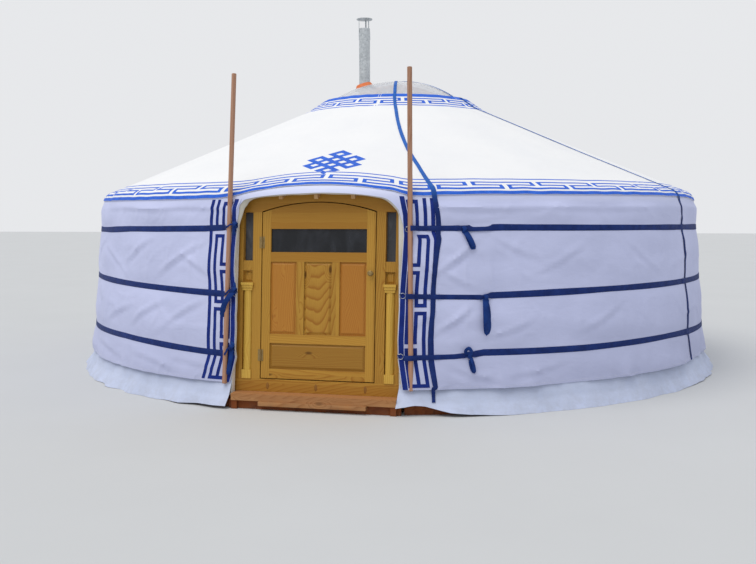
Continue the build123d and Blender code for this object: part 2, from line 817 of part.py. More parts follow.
def leaf_glass():
    """Pane in the upper part of the leaf."""
    middle = leaf_front + leaf_thickness / 2
    return upright((-inner_half + seat, inner_half - seat), (middle - glass / 2, middle + glass / 2),
                   (window_low + seat, window_high - seat))


hinge_x = -leaf_half_width - leaf_gap / 2
third = hinge_height / 3


def knuckle(low, high, bore):
    """A length of the hinge's barrel."""
    barrel = Pos(hinge_x, -hinge_stand, (low + high) / 2) * Cylinder(knuckle_radius, high - low)
    if bore:
        barrel -= Pos(hinge_x, -hinge_stand, (low + high) / 2) * Cylinder(hinge_pin + hinge_play, 2 * (high - low))
    return barrel


def frame_hinges():
    """Fixed halves of the hinges, with their pins."""
    hinges = []
    clear = knuckle_radius + slack
    for middle in hinge_heights:
        low = middle - hinge_height / 2
        high = middle + hinge_height / 2
        plate = block((hinge_x - clear - hinge_plate_width, hinge_x - clear), (-hinge_plate, 0), (low, high))
        pieces = [plate, Pos(hinge_x, -hinge_stand, middle) * Cylinder(hinge_pin, hinge_height)]
        for start, end in ((low, low + third), (high - third, high)):
            pieces.append(knuckle(start, end, False))
            pieces.append(block((hinge_x - clear - 1, hinge_x - 2), (-hinge_plate - 1, 0), (start, end)))
        hinges.append(door_place * pieces[0].fuse(*pieces[1:]))
    return hinges


def leaf_hinges():
    """Moving halves of the hinges, on the face of the leaf."""
    hinges = []
    clear = knuckle_radius + slack
    for middle in hinge_heights:
        low = middle - hinge_height / 2
        high = middle + hinge_height / 2
        plate = block((hinge_x + clear, hinge_x + clear + hinge_plate_width),
                      (leaf_front - hinge_plate, leaf_front), (low, high))
        inner = (low + third + 0.5, high - third - 0.5)
        tab = block((hinge_x + hinge_pin, hinge_x + clear + 1), (-hinge_plate - 1, leaf_front - 0.1), inner)
        tab -= Pos(hinge_x, -hinge_stand, middle) * Cylinder(hinge_pin + hinge_play, hinge_height)
        hinges.append(door_place * knuckle(*inner, True).fuse(plate, tab))
    return hinges


def door_knob():
    """Round knobs on both faces of the leaf, joined by their spindle."""
    rose = knob_radius * 0.9
    neck = spindle_radius * 1.1
    half = make_face(Polyline(
        (0, 0), (rose, 0), (rose, 4), (neck, 7), (neck, knob_reach * 0.4), (knob_radius, knob_reach * 0.6),
        (knob_radius, knob_reach * 0.85), (knob_radius * 0.6, knob_reach), (0, knob_reach), close=True))
    knob = revolve(Plane.XZ * half, Axis.Z, 360)
    front = Pos(knob_x, leaf_front, knob_height) * Rot(90, 0, 0) * knob
    back = Pos(knob_x, leaf_front + leaf_thickness, knob_height) * Rot(-90, 0, 0) * knob
    spindle = Pos(knob_x, leaf_front + leaf_thickness / 2, knob_height) * Rot(90, 0, 0) * Cylinder(
        spindle_radius, leaf_thickness)
    return door_place * front.fuse(spindle, back)


def save(name, shapes):
    """Writes one sub-part, of one solid or of several that don't touch."""
    solids = []
    for shape in shapes if isinstance(shapes, list) else [shapes]:
        solids += shape.solids()
    whole = solids[0] if len(solids) == 1 else Compound(children=solids)
    export_step(whole, f"parts/{name}.step")


def build():
    """Writes every sub-part."""
    os.makedirs("parts", exist_ok=True)
    save("floor_joists", floor_joists())
    save("floor_deck", floor_deck())
    save("floor_rim", floor_rim())
    save("door_base_board", door_base_board())
    save("door_sill", door_sill())
    save("step_board", step_front())
    section = lattice_section()
    for i in range(lattice_sections):
        turn = i * columns_per_section * lattice_pitch()
        save(f"lattice_wall_{i + 1}", Rot(0, 0, turn) * section)
    save("roof_poles", roof_poles())
    save("crown_ring", crown_ring())
    save("crown_curb", crown_curb())
    save("crown_ribs", crown_ribs())
    save("crown_dome", crown_dome())
    save("stovepipe", stovepipe())
    save("pipe_flashing", pipe_flashing())
    save("pipe_clamp", pipe_clamp())
    save("pipe_cap", pipe_cap())
    for i, piece in enumerate(roof_felt()):
        save(f"roof_felt_{i + 1}", piece)
    for i, piece in enumerate(wall_felt()):
        save(f"wall_felt_{i + 1}", piece)
    save("wall_cover", wall_cover())
    save("roof_cover", roof_cover())
    save("skirt", skirt())
    for name, height in belt_heights.items():
        save(name, belt(height))
    for i, (name, azimuth) in enumerate(strap_azimuths.items()):
        save(name, crown_strap(azimuth, strap_offsets[name], i * (strap_thickness + seat)))
    for name, azimuth in side_pole_azimuths.items():
        save(name, door_pole(azimuth))
    save("frame_bottom_rail", frame_bottom_rail())
    save("frame_stiles", frame_stiles())
    save("frame_posts", frame_posts())
    save("frame_head", frame_head())
    save("side_glass", side_glass())
    save("side_panels", side_panels())
    save("side_pilasters", side_pilasters())
    save("frame_hinges", frame_hinges())
    save("leaf_stiles", leaf_stiles())
    save("leaf_top_rail", leaf_top_rail())
    save("leaf_rails", leaf_rails())
    save("leaf_muntins", leaf_muntins())
    save("leaf_panels", leaf_panels())
    save("leaf_glass", leaf_glass())
    save("leaf_hinges", leaf_hinges())
    save("door_knob", door_knob())


build()
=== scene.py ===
"""Looks of the round felt tent: its cloth, patterns, webbing, timber, metal, light and camera.

Metres, in the frame of the model. An azimuth is in degrees round the tent from the door, positive
towards +X. The roof is measured by the distance down its slope from the crown, the wall by height.
"""

import bmesh
import bpy
import numpy as np
from mathutils import Matrix, Vector


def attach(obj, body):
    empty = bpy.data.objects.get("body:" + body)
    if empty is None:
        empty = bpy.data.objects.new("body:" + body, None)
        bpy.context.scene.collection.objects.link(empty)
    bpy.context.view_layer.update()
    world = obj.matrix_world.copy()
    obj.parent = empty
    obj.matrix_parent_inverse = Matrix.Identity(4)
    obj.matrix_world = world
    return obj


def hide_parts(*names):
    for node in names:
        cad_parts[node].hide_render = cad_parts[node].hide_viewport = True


# Camera: places in metres, turns in degrees
focal_pixels = 902.0
image_width = 756
camera_distance = 10.013
camera_height = 1.542
camera_azimuth = 11.94
camera_turn = 1.20
camera_tilt = -4.37
camera_roll = -0.15
sensor_width = 36.0

# Light and stage
sky_light = (0.86, 0.91, 1.0)
sky_strength = 0.66
sky_seen = (0.80, 0.81, 0.83)
sun_energy = 1.55
sun_spread = np.radians(50)
sun_colour = (1.0, 0.985, 0.95)
sun_way = (0.30, 0.42, -1.0)
stage_half = 60.0

# Outline of the tent, the same as the model's
corner = (3.098, 1.714)
wall_lean = np.radians(4.5)
crown_edge = (0.795, 2.740185)
collar = (0.980, 2.613038)
collar_round = 0.09
eave_round = 0.13
hem_height = 0.20
dome_ball = 1.317            # radius of the ball that the dome is a cap of
dome_middle = 1.6482
dome_edge = 0.758
door_plane = 0.144           # the face of the frame stands this far inside the foot of the wall
felt_inside = 0.0690         # from the outline to the inner side of the lattice

# Roof cover
cloth = 0.003
roof_lift = 0.0025           # the cloth stands this far outside the outline
roof_wave = 0.0009
pole_wave = 0.0007           # the roof poles show by this much
roof_poles = 60
seam_depth = 0.0018
edge_lift = 0.0016
edge_wave = 0.0012
edge_slope = 2.53            # distance down the slope to the edge of the roof cover
edge_drops = [(-180, 0.020), (-62, 0.024), (-50, 0.033), (-25, 0.036), (-17, 0.032), (-14.5, 0.025),
              (-13, 0.012), (-11.5, 0.0), (11.5, 0.0), (13.5, 0.016), (16, 0.022), (19, 0.015), (24, 0.009),
              (45, 0.006), (60, 0.004), (72, 0.012), (80, 0.035), (85, 0.040), (180, 0.020)]
hood_cut = 0.0775            # the cover is cut shorter over the door by this much
hood_profile = [(2.0, 2.1801), (2.30, 2.0600), (2.55, 1.9640), (2.83, 1.8600), (2.92, 1.8235),
                (3.005, 1.7870), (3.035, 1.7650), (3.056, 1.7420), (3.066, 1.7220)]
hood_middle = 0.5            # azimuth of the middle of the rise over the door
hood_reach = 12.4
gores = 18
band_width = 0.262           # white band along the edge
felt_cut = ((-0.655, -3.30, 1.50), (0.655, -2.80, 1.742))    # the roof felt is cut away over the door here

# Wall cover
belt_heights = (1.420, 0.922, 0.469)
wall_top = 1.72              # level of the top edge under the roof cover
wall_bend = 1.62             # above this level the wall cover follows the shoulder
shoulder_slope = 2.6013      # place of that level along the outline
shoulder_length = 0.0990
wall_lift = 0.0016
pillow_depth = 0.0125        # swelling of the cloth between two belts
broad_depth = 0.0066
pull_depth = 0.0030
fine_depth = 0.0010
crease_depth = 0.0050
slant_depth = 0.0060
hem_swell = (0.009, 0.006, 0.0036)
hood_wall = [(3.1045, 1.62), (3.0975, 1.660), (3.084, 1.700), (3.062, 1.735), (3.030, 1.762),
             (3.000, 1.785)]
opening_arch = [(-12.3, 1.45), (-12.0, 1.60), (-11.2, 1.645), (-10.2, 1.660), (-8.5, 1.674), (-5.3, 1.689),
                (-2.1, 1.696), (0.9, 1.701), (3.8, 1.697), (6.7, 1.686), (8.85, 1.671), (10.3, 1.655),
                (11.3, 1.620), (12.0, 1.55), (12.3, 1.45)]
right_edge_sway = [(0.20, 0.36), (0.42, -0.18), (0.58, -0.23), (0.80, -0.03), (0.96, 0.05), (1.11, 0.26),
                   (1.37, 0.59), (1.53, 0.42), (1.68, -0.13)]
left_edge_sway = [(0.21, -0.15), (0.40, 0.66), (0.46, 0.45), (0.78, 0.47), (0.95, 0.31), (1.09, 0.09),
                  (1.33, 0.23), (1.47, 0.19), (1.68, 0.46)]
skirt_top = 0.235            # level of the top edge, behind the hem
skirt_outline = [(0, 3.318), (0.10, 3.246), (0.205, 3.2120), (skirt_top, 3.2095)]
skirt_inside = 3.209         # the folds stay outside this radius
skirt_folds = (0.0075, 0.0065, 0.0065)
skirt_foot_heights = [(-34, 0.001), (-25, 0.003), (-16.8, 0.018), (-12.4, 0.020), (11.7, 0.056),
                      (13.2, 0.070), (14.4, 0.080), (15.6, 0.072), (17.2, 0.048), (19.0, 0.025),
                      (21.6, 0.012), (25, 0.004), (32, 0.001)]
crease_strength = 1.9
degree_length = 0.055        # length of a degree of azimuth on the wall
# Creases of the wall cover: azimuth and height of both ends, and how high the crease stands
creases = [(17.3, 1.10, 22.8, 1.325, 0.0075), (18.7, 1.09, 23.6, 0.965, 0.0070),
           (17.4, 0.64, 22.0, 0.82, 0.0080), (14.2, 1.20, 17.6, 1.07, 0.0060),
           (13.6, 0.66, 16.6, 0.78, 0.0060), (26.0, 1.36, 31.5, 1.22, 0.0055),
           (24.5, 0.60, 30.5, 0.70, 0.0055), (33.0, 1.10, 39.5, 1.28, 0.0050),
           (40.0, 0.62, 47.0, 0.80, 0.0055), (50.0, 1.30, 57.0, 1.06, 0.0050),
           (19.5, 0.38, 25.5, 0.27, 0.0060), (28.0, 0.30, 36.0, 0.37, 0.0055),
           (-19.0, 1.30, -27.0, 1.06, 0.0070), (-29.5, 1.34, -36.5, 1.16, 0.0065),
           (-17.5, 0.86, -24.5, 0.66, 0.0070), (-27.0, 0.80, -34.0, 0.62, 0.0060),
           (-16.4, 1.02, -22.0, 1.20, 0.0055), (-38.0, 1.02, -46.0, 1.22, 0.0055),
           (-36.0, 0.74, -44.0, 0.60, 0.0055), (-15.5, 0.30, -23.0, 0.36, 0.0060),
           (-24.0, 0.28, -33.0, 0.35, 0.0060), (-40.0, 0.30, -50.0, 0.36, 0.0055),
           (-48.0, 1.34, -57.0, 1.12, 0.0050), (-15.0, 1.58, -27.0, 1.60, 0.0055),
           (-29.0, 1.585, -44.0, 1.60, 0.0050), (17.0, 1.60, 30.0, 1.585, 0.0045),
           (34.0, 1.60, 52.0, 1.59, 0.0040)]

# Patterns, in metres across the band
stroke = 0.028
eave_periods = 33
eave_gap_azimuth = 1.0
eave_steps = (0.72, 0.62)    # width of a gap and of a bar of the key pattern, in degrees
eave_lines = {"border": (0.0, 0.030), "third": (0.050, 0.072), "second": (0.104, 0.128),
              "first": (0.166, 0.188), "top": (0.238, 0.256)}
crown_periods = 12
crown_gap_azimuth = 15.7
crown_steps = (2.2, 2.0)
crown_levels = [(0.088, 0.108), (0.134, 0.154), (0.180, 0.200)]
crown_stripes = {"crown_edge_stripe": (0.0, 0.062), "crown_border": (0.230, 0.256)}
knot_centre = (0.2, 1.932)
knot_cell = 0.104
knot_stroke = 0.049
knot_holes = [(-1.5, 1.5), (-1.5, -0.5), (-0.5, 0.5), (0.5, 1.5), (-0.5, -0.5), (0.5, 0.5), (-0.5, -1.5),
              (0.5, -0.5), (1.5, 0.5), (1.5, -1.5)]
# Pattern beside the door: its columns, and the levels of its ends, gaps and bars
door_columns = {"inner": (0.004, 0.042), "a": (0.048, 0.076), "b": (0.114, 0.142), "c": (0.179, 0.207),
                "outer": (0.237, 0.268)}
stripe_feet = (0.203, 0.215)
stripe_tops = {1: (1.668, 1.655), -1: (1.655, 1.652)}
door_foot = (0.217, 0.245)
door_head = (1.605, 1.633)
door_gaps = ((1.392, 0.808), (1.108, 0.530))
door_half_gap = 0.0155
right_rise = 0.009           # the right pattern stands this much higher

# Webbing
belt_names = ("top", "middle", "bottom")
belt_half = 0.024
belt_width = 0.050
strap_width = 0.032
dome_clear = 0.0035          # the straps run this far above the dome, the roof and the wall
roof_clear = 0.0045
wall_clear = 0.0044
pole_azimuths = (13.8, -13.2)
belt_sways = [[(-180, 0.0), (-90, -0.020), (-56, -0.028), (-47, -0.026), (-37, -0.011), (-29, -0.008),
               (-18, 0.001), (-13.6, 0.012), (13, 0.004), (22, 0.005), (27, 0.010), (40, 0.002),
               (65, -0.010), (84, -0.020), (180, 0.0)],
              [(-180, 0.0), (-90, 0.010), (-56, 0.020), (-45, 0.014), (-37, 0.007), (-25, -0.006),
               (-18, -0.016), (-13.6, -0.022), (12.7, -0.014), (20, -0.022), (23.8, -0.027), (25.2, -0.014),
               (35, -0.006), (45, 0.0), (84, 0.0), (180, 0.0)],
              [(-180, 0.0), (-90, -0.010), (-56, -0.010), (-37, -0.006), (-28, -0.018), (-18, -0.038),
               (-13.6, -0.044), (12.6, -0.030), (20, -0.023), (22.4, -0.010), (24, 0.003), (30, -0.001),
               (40, -0.006), (50, -0.002), (60, 0.0), (84, -0.020), (180, 0.0)]]
# Each strap runs from the crown's middle in two halves: azimuths by distance down the roof, then by level
front_paths = [[(10.4, 0.0), (10.49, 0.067), (11.62, 0.414), (12.25, 0.737), (13.17, 1.127), (14.41, 1.592),
                (15.76, 1.988), (16.87, 2.414), (17.24, 2.526)],
               [(-164.0, 0.0), (-157.9, 2.526)]]
front_falls = [[(17.24, 1.67), (17.62, 1.45), (17.42, 1.36), (17.0, 1.15), (16.85, 0.80), (16.72, 0.40),
                (16.85, 0.055)], [(-157.9, 1.67), (-157.6, 0.205)]]
side_ends = (67.5, -112.5)
side_paths = [[(end, 0.0), (end, 2.526)] for end in side_ends]
side_falls = [[(end, 1.67), (end + lean, 0.205)] for end, lean in zip(side_ends, (0.3, 0.0))]
strap_azimuths = (17.0, side_ends[0], -157.7, side_ends[1])
right_ties = [(21.35, 1.412), (24.35, 0.889), (21.90, 0.455)]
left_ties = [(-12.43, 1.452), (-12.34, 0.935), (-12.60, 0.478)]
# Loops and tails of each tie: their points (azimuth, height, distance out) and width
right_loops = [
    [([(21.3, 1.405, 0.014), (21.7, 1.365, 0.024), (22.15, 1.320, 0.024), (22.38, 1.286, 0.018),
       (22.25, 1.283, 0.010), (21.95, 1.320, 0.010), (21.6, 1.375, 0.010)], 0.042)],
    [([(24.3, 0.880, 0.020), (24.15, 0.800, 0.034), (24.10, 0.710, 0.036), (24.22, 0.640, 0.028),
       (24.45, 0.625, 0.016), (24.62, 0.680, 0.012), (24.55, 0.780, 0.012), (24.40, 0.868, 0.012)],
      0.052)],
    [([(21.7, 0.458, 0.016), (21.35, 0.490, 0.026), (21.75, 0.512, 0.030), (22.25, 0.480, 0.022),
       (22.1, 0.450, 0.014)], 0.028),
     ([(22.0, 0.450, 0.018), (22.3, 0.400, 0.028), (22.45, 0.350, 0.024), (22.40, 0.325, 0.014),
       (22.2, 0.350, 0.010), (22.0, 0.42, 0.010)], 0.030)]
]
left_tails = [
    [([(-12.4, 1.45, 0.014), (-12.55, 1.41, 0.020), (-12.5, 1.372, 0.012)], 0.026)],
    [([(-12.4, 0.93, 0.016), (-13.0, 0.87, 0.050), (-13.7, 0.80, 0.050), (-14.3, 0.72, 0.020)],
      0.042),
     ([(-12.4, 0.93, 0.014), (-12.2, 0.965, 0.020), (-12.25, 0.995, 0.014)], 0.024)],
    [([(-12.6, 0.475, 0.016), (-12.75, 0.42, 0.019), (-12.8, 0.34, 0.018), (-12.68, 0.262, 0.016)],
      0.034),
     ([(-12.6, 0.478, 0.014), (-12.3, 0.505, 0.020), (-12.7, 0.520, 0.018)], 0.026)]
]
right_rings = [(12.95, 1.418), (12.72, 0.912), (12.62, 0.450)]
left_rings = [(-12.42, 1.415), (-12.42, 0.905), (-12.42, 0.448)]
ring_radius = 0.0205
steel_wire = 0.0022

# Small things
lattice_start = 13.7         # azimuth of the lattice's ends beside the door
lattice_columns = 55
lattice_rows = 4
lattice_levels = (0.165, 1.6195)
stitch_sizes = {"Pitch": 0.011, "Radius": 0.0008, "Length": 4.2}
peg_places = (-0.405, -0.003, 0.398)
peg_height = 0.172
peg_half = (0.012, 0.028)
peg_sides = 24

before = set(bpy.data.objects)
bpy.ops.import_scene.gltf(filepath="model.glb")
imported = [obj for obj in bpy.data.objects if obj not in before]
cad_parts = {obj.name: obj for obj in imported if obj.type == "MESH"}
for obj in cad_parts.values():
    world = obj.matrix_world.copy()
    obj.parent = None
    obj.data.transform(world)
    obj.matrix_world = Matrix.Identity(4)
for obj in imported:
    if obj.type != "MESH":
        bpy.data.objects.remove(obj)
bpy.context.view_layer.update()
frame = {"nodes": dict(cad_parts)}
nodes = frame["nodes"]


# Numbers and lines

def unit(vectors):
    """Vectors brought to length 1."""
    return vectors / np.linalg.norm(vectors, axis=-1, keepdims=True)


def distances(line):
    """Distance of each point of a line from its start."""
    steps = np.linalg.norm(np.diff(line, axis=0), axis=1)
    return np.concatenate([[0], np.cumsum(steps)])


def read_off(value, table):
    """The number that a table of pairs gives at a value."""
    return np.interp(value, *zip(*table))


def matched(first, second):
    """Two sets of numbers brought to one shape."""
    return np.broadcast_arrays(np.asarray(first, float), np.asarray(second, float))


def along_line(line):
    """Distance along a line of points in radius and height, with the radius and the height."""
    line = np.array(line)
    return distances(line), line[:, 0], line[:, 1]


def smooth_line(points, count):
    """A smooth line through points, as evenly spaced points."""
    points = np.asarray(points, float)
    padded = np.concatenate([[2 * points[0] - points[1]], points, [2 * points[-1] - points[-2]]])
    fine = []
    for i in range(1, len(padded) - 2):
        t = np.linspace(0, 1, 24, endpoint=False)[:, None]
        p0, p1, p2, p3 = padded[i - 1:i + 3]
        fine.append(0.5 * (2 * p1 + (p2 - p0) * t + (2 * p0 - 5 * p1 + 4 * p2 - p3) * t ** 2
                           + (3 * p1 - p0 - 3 * p2 + p3) * t ** 3))
    fine = np.concatenate([*fine, points[-1:]])
    steps = distances(fine)
    even = np.linspace(0, steps[-1], count)
    return np.stack([np.interp(even, steps, fine[:, k]) for k in range(points.shape[1])], 1)


def rounded_outline():
    """Radius and height along the outline, with its two corners rounded, and the distance along it."""
    low = (corner[0] + corner[1] * np.tan(wall_lean), 0.0)
    points = [np.array(p) for p in (crown_edge, collar, corner, low)]
    line = [points[0]]
    for i, radius in ((1, collar_round), (2, eave_round)):
        before, after = unit(points[i - 1] - points[i]), unit(points[i + 1] - points[i])
        half = np.arccos(before @ after) / 2
        start = points[i] + before * radius / np.tan(half)
        end = points[i] + after * radius / np.tan(half)
        middle = points[i] + unit(before + after) * radius / np.sin(half)
        turn = np.arccos(np.clip((start - middle) @ (end - middle) / radius ** 2, -1, 1))
        for share in np.linspace(0, 1, 17):
            line.append(middle + (np.sin((1 - share) * turn) * (start - middle)
                                  + np.sin(share * turn) * (end - middle)) / np.sin(turn))
    line.append(points[3])
    return along_line(line)


outline = rounded_outline()
hood_line = along_line(smooth_line(hood_profile, 60))
hood_slope = float(np.interp(hood_profile[0][0], outline[1][:40], outline[0][:40]))


def smooth_step(low, high, value):
    """0 below low, 1 above high and a smooth rise between them."""
    share = np.clip((value - low) / (high - low), 0, 1)
    return share * share * (3 - 2 * share)


# Surfaces of the cloth

def signed(azimuth):
    """Azimuth between -180 and 180."""
    return (np.asarray(azimuth, float) + 180) % 360 - 180


def ripples(seed, count, round_waves, up_waves):
    """A smooth random field over azimuth and height, which closes round the tent. Its size is about 1."""
    source = np.random.default_rng(seed)
    turns = source.integers(round_waves[0], round_waves[1], count)
    rises = source.uniform(up_waves[0], up_waves[1], count) * source.choice([-1, 1], count)
    phases = source.uniform(0, 2 * np.pi, count)

    def field(azimuth, height):
        angle = np.radians(azimuth)[..., None] * turns + np.asarray(height)[..., None] * rises + phases
        return np.cos(angle).sum(-1) / np.sqrt(count / 2)

    return field


def hood_share(azimuth):
    """How far the cover follows the rise over the door, from 0 to 1."""
    shares = []
    for shift in (-0.7, 0.0, 0.7):
        away = np.abs(signed(azimuth) - hood_middle + shift) / hood_reach
        shares.append(np.clip(1 - away ** 2.2, 0, 1))
    return sum(shares) / 3


def place(azimuth, radius, height):
    """Points from azimuth, radius and height."""
    angle = np.radians(azimuth)
    return np.stack([radius * np.sin(angle), -radius * np.cos(angle), height + 0 * angle], axis=-1)


roof_waves = ripples(3, 14, (9, 40), (1.0, 5.0))
edge_waves = ripples(4, 12, (20, 90), (0.0, 1.0))


def roof(azimuth, slope):
    """Outside of the roof cover."""
    azimuth, slope = matched(azimuth, slope)
    radius = np.interp(slope, outline[0], outline[1])
    height = np.interp(slope, outline[0], outline[2])
    share = hood_share(azimuth) * (slope > hood_slope)
    radius = radius + share * (np.interp(slope - hood_slope, hood_line[0], hood_line[1]) - radius)
    height = height + share * (np.interp(slope - hood_slope, hood_line[0], hood_line[2]) - height)
    pole = np.cos(np.radians(azimuth) * roof_poles) * smooth_step(0.8, 2.2, slope)
    seam = np.abs(((azimuth / 360 * gores) % 1) - 0.5) * 2
    lift = roof_lift + roof_wave * roof_waves(azimuth, slope) + pole_wave * pole
    lift = lift - seam_depth * smooth_step(0.985, 1, seam)
    lift = lift + (edge_lift + edge_wave * edge_waves(azimuth, slope)) * smooth_step(2.36, 2.50, slope)
    return place(azimuth, radius + 0.4 * lift, height + 0.9 * lift)


def edge_of_roof(azimuth):
    """Distance down the slope to the edge of the roof cover."""
    return edge_slope - hood_cut * hood_share(azimuth) + read_off(signed(azimuth), edge_drops)


broad_waves = ripples(5, 10, (8, 26), (0.5, 3.0))
fine_waves = ripples(7, 16, (30, 90), (1.0, 7.0))
pull_waves = ripples(9, 12, (3, 14), (9.0, 24.0))
crease_waves = ripples(13, 9, (14, 46), (0.5, 4.0))
slant_waves = ripples(15, 7, (8, 24), (5.0, 14.0))
hem_waves = ripples(17, 12, (40, 120), (0.0, 2.0))


def belt_level(index, azimuth):
    """Level of a belt round the tent."""
    return belt_heights[index] + read_off(signed(azimuth), belt_sways[index])


def pillow(azimuth, height):
    """Swelling of the cloth between the belts, from 0 at a belt to 1 halfway."""
    belts = [belt_level(i, azimuth) for i in (2, 1, 0)]
    levels = [0 * azimuth - belt_half, *belts, 0 * azimuth + wall_top + belt_half]
    swelling = 0
    for low, high in zip(levels[:-1], levels[1:]):
        share = np.clip((height - low - belt_half) / (high - low - 2 * belt_half), 0, 1)
        swelling = swelling + np.abs(np.sin(np.pi * share)) ** 0.8
    return swelling


def sway(azimuth, height):
    """Azimuth that the cloth beside the door is pulled aside by."""
    turn = signed(azimuth)
    away = np.abs(turn)
    right = read_off(height, right_edge_sway) * (turn > 0)
    right = right * (1 - 0.67 * smooth_step(1.33, 1.40, height) * smooth_step(12.8, 14.8, away))
    left = read_off(height, left_edge_sway) * (turn < 0)
    return (right + left) * smooth_step(11.0, 12.0, away) * (1 - smooth_step(15.0, 26.0, away))


def ridge(waves, width):
    """Rounded ridges where a field passes through 0."""
    return np.maximum(0, 1 - (waves / width) ** 2) ** 2


def crease_relief(azimuth, height):
    """Long soft creases, each with a shallow valley along its lower side."""
    relief = 0
    turn = signed(azimuth)
    for first, low, last, high, rise in creases:
        way = np.array([(last - first) * degree_length, high - low])
        length = np.hypot(*way)
        way /= length
        x, z = (turn - first) * degree_length, height - low
        along = (x * way[0] + z * way[1]) / length
        aside = z * way[0] - x * way[1] + 0.012 * np.sin(3.0 * along)
        fade = smooth_step(-0.45, 0.35, along) * (1 - smooth_step(0.65, 1.45, along))
        side = np.sign(way[0])
        peak = np.exp(-(aside / 0.021) ** 2)
        valley = np.exp(-((aside * side + 0.040) / 0.025) ** 2)
        relief = relief + crease_strength * rise * fade * (peak - 0.7 * valley)
    return relief


def wall_swell(azimuth, height):
    """How far the wall cover stands outside the outline."""
    free = pillow(azimuth, height)
    low = 1 - smooth_step(0.20, 0.46, height)
    plain = 0.35 + 0.65 * smooth_step(17.0, 19.0, np.abs(signed(azimuth)))
    broad = broad_depth * broad_waves(azimuth, height)
    swell = wall_lift + free * (pillow_depth + broad + pull_depth * pull_waves(azimuth, height))
    swell = swell + (0.20 + 0.80 * free) * fine_depth * fine_waves(azimuth, height)
    swell = swell + free * plain * np.maximum(crease_depth * ridge(crease_waves(azimuth, height), 0.26),
                                              slant_depth * ridge(slant_waves(azimuth, height), 0.24))
    swell = swell + np.minimum(free, 1) * (0.3 + 0.7 * plain) * crease_relief(azimuth, height)
    swell = swell + low * (hem_swell[0] + hem_swell[1] * broad_waves(azimuth + 31, height)
                           + hem_swell[2] * hem_waves(azimuth, height))
    return 0.0004 + 0.5 * (swell + np.sqrt(swell ** 2 + 0.0036 ** 2))


hood_wall_line = smooth_line(hood_wall, 41)
hood_marks = np.linspace(0, 1, 41)


def wall(azimuth, level):
    """Outside of the wall cover. The level is the height, but over the door its top is stretched upwards."""
    azimuth, level = matched(azimuth, level)
    share = hood_share(azimuth)
    rise = np.clip((level - wall_bend) / (wall_top - wall_bend), 0, 1)
    slope = shoulder_slope - rise * shoulder_length
    tuck = smooth_step(0.0, 0.4, rise)
    tucked_radius = np.interp(slope, outline[0], outline[1]) - 0.0034 * tuck - 0.0008
    tucked_height = np.interp(slope, outline[0], outline[2]) - 0.0030 * rise
    hood_radius = np.interp(rise, hood_marks, hood_wall_line[:, 0])
    hood_height = np.interp(rise, hood_marks, hood_wall_line[:, 1])
    straight = corner[0] + (corner[1] - level) * np.tan(wall_lean)
    swell = wall_swell(azimuth, level) * (1 - smooth_step(1.58, 1.645, level))
    radius = np.where(level > wall_bend, (1 - share) * tucked_radius + share * hood_radius, straight) + swell
    height = np.where(level > wall_bend, (1 - share) * tucked_height + share * hood_height, level)
    return place(azimuth + sway(azimuth, level), radius, height)


def offset(surface, azimuth, along, out, down=1.0):
    """Points at a distance outside a surface. down is the sign of the second coordinate downwards."""
    azimuth, along = matched(azimuth, along)
    round_step, down_step = 0.05, 0.003 * down
    across = surface(azimuth + round_step, along) - surface(azimuth - round_step, along)
    fall = surface(azimuth, along + down_step) - surface(azimuth, along - down_step)
    return surface(azimuth, along) + unit(np.cross(fall, across)) * np.asarray(out)[..., None]


def on_roof(azimuth, slope, out):
    """Points at a distance outside the roof cover."""
    return offset(roof, azimuth, slope, out)


def on_wall(azimuth, level, out):
    """Points at a distance outside the wall cover."""
    return offset(wall, azimuth, level, out, -1.0)


# Meshes

def shown(name, data):
    """An object of the scene from its data."""
    made = bpy.data.objects.new(name, data)
    bpy.context.scene.collection.objects.link(made)
    return made


def settle(piece):
    """Takes up what the modifiers make of a piece as its own plain mesh."""
    plain = bpy.data.meshes.new_from_object(piece.evaluated_get(bpy.context.evaluated_depsgraph_get()))
    piece.modifiers.clear()
    piece.data = plain


def new_object(name, points, faces, uv=None, sharp=40):
    """An object from points and faces, shaded smooth up to an angle."""
    mesh = bpy.data.meshes.new(name)
    mesh.from_pydata(np.asarray(points).reshape(-1, 3).tolist(), [], [list(map(int, face)) for face in faces])
    if uv is not None:
        layer = mesh.uv_layers.new(name="UVMap")
        corners = np.zeros(len(mesh.loops), np.int32)
        mesh.loops.foreach_get("vertex_index", corners)
        layer.data.foreach_set("uv", np.asarray(uv, np.float32).reshape(-1, 2)[corners].ravel())
    mesh.polygons.foreach_set("use_smooth", [True] * len(mesh.polygons))
    mesh.set_sharp_from_angle(angle=np.radians(sharp))
    return shown(name, mesh)


def merged(name, parts):
    """One object from several sets of points, faces and UV places."""
    points, faces, uv, start = [], [], [], 0
    for part_points, part_faces, part_uv in parts:
        points.append(np.asarray(part_points).reshape(-1, 3))
        uv.append(np.asarray(part_uv).reshape(-1, 2))
        faces += [[i + start for i in face] for face in part_faces]
        start += len(points[-1])
    return new_object(name, np.concatenate(points), faces, np.concatenate(uv), 50)


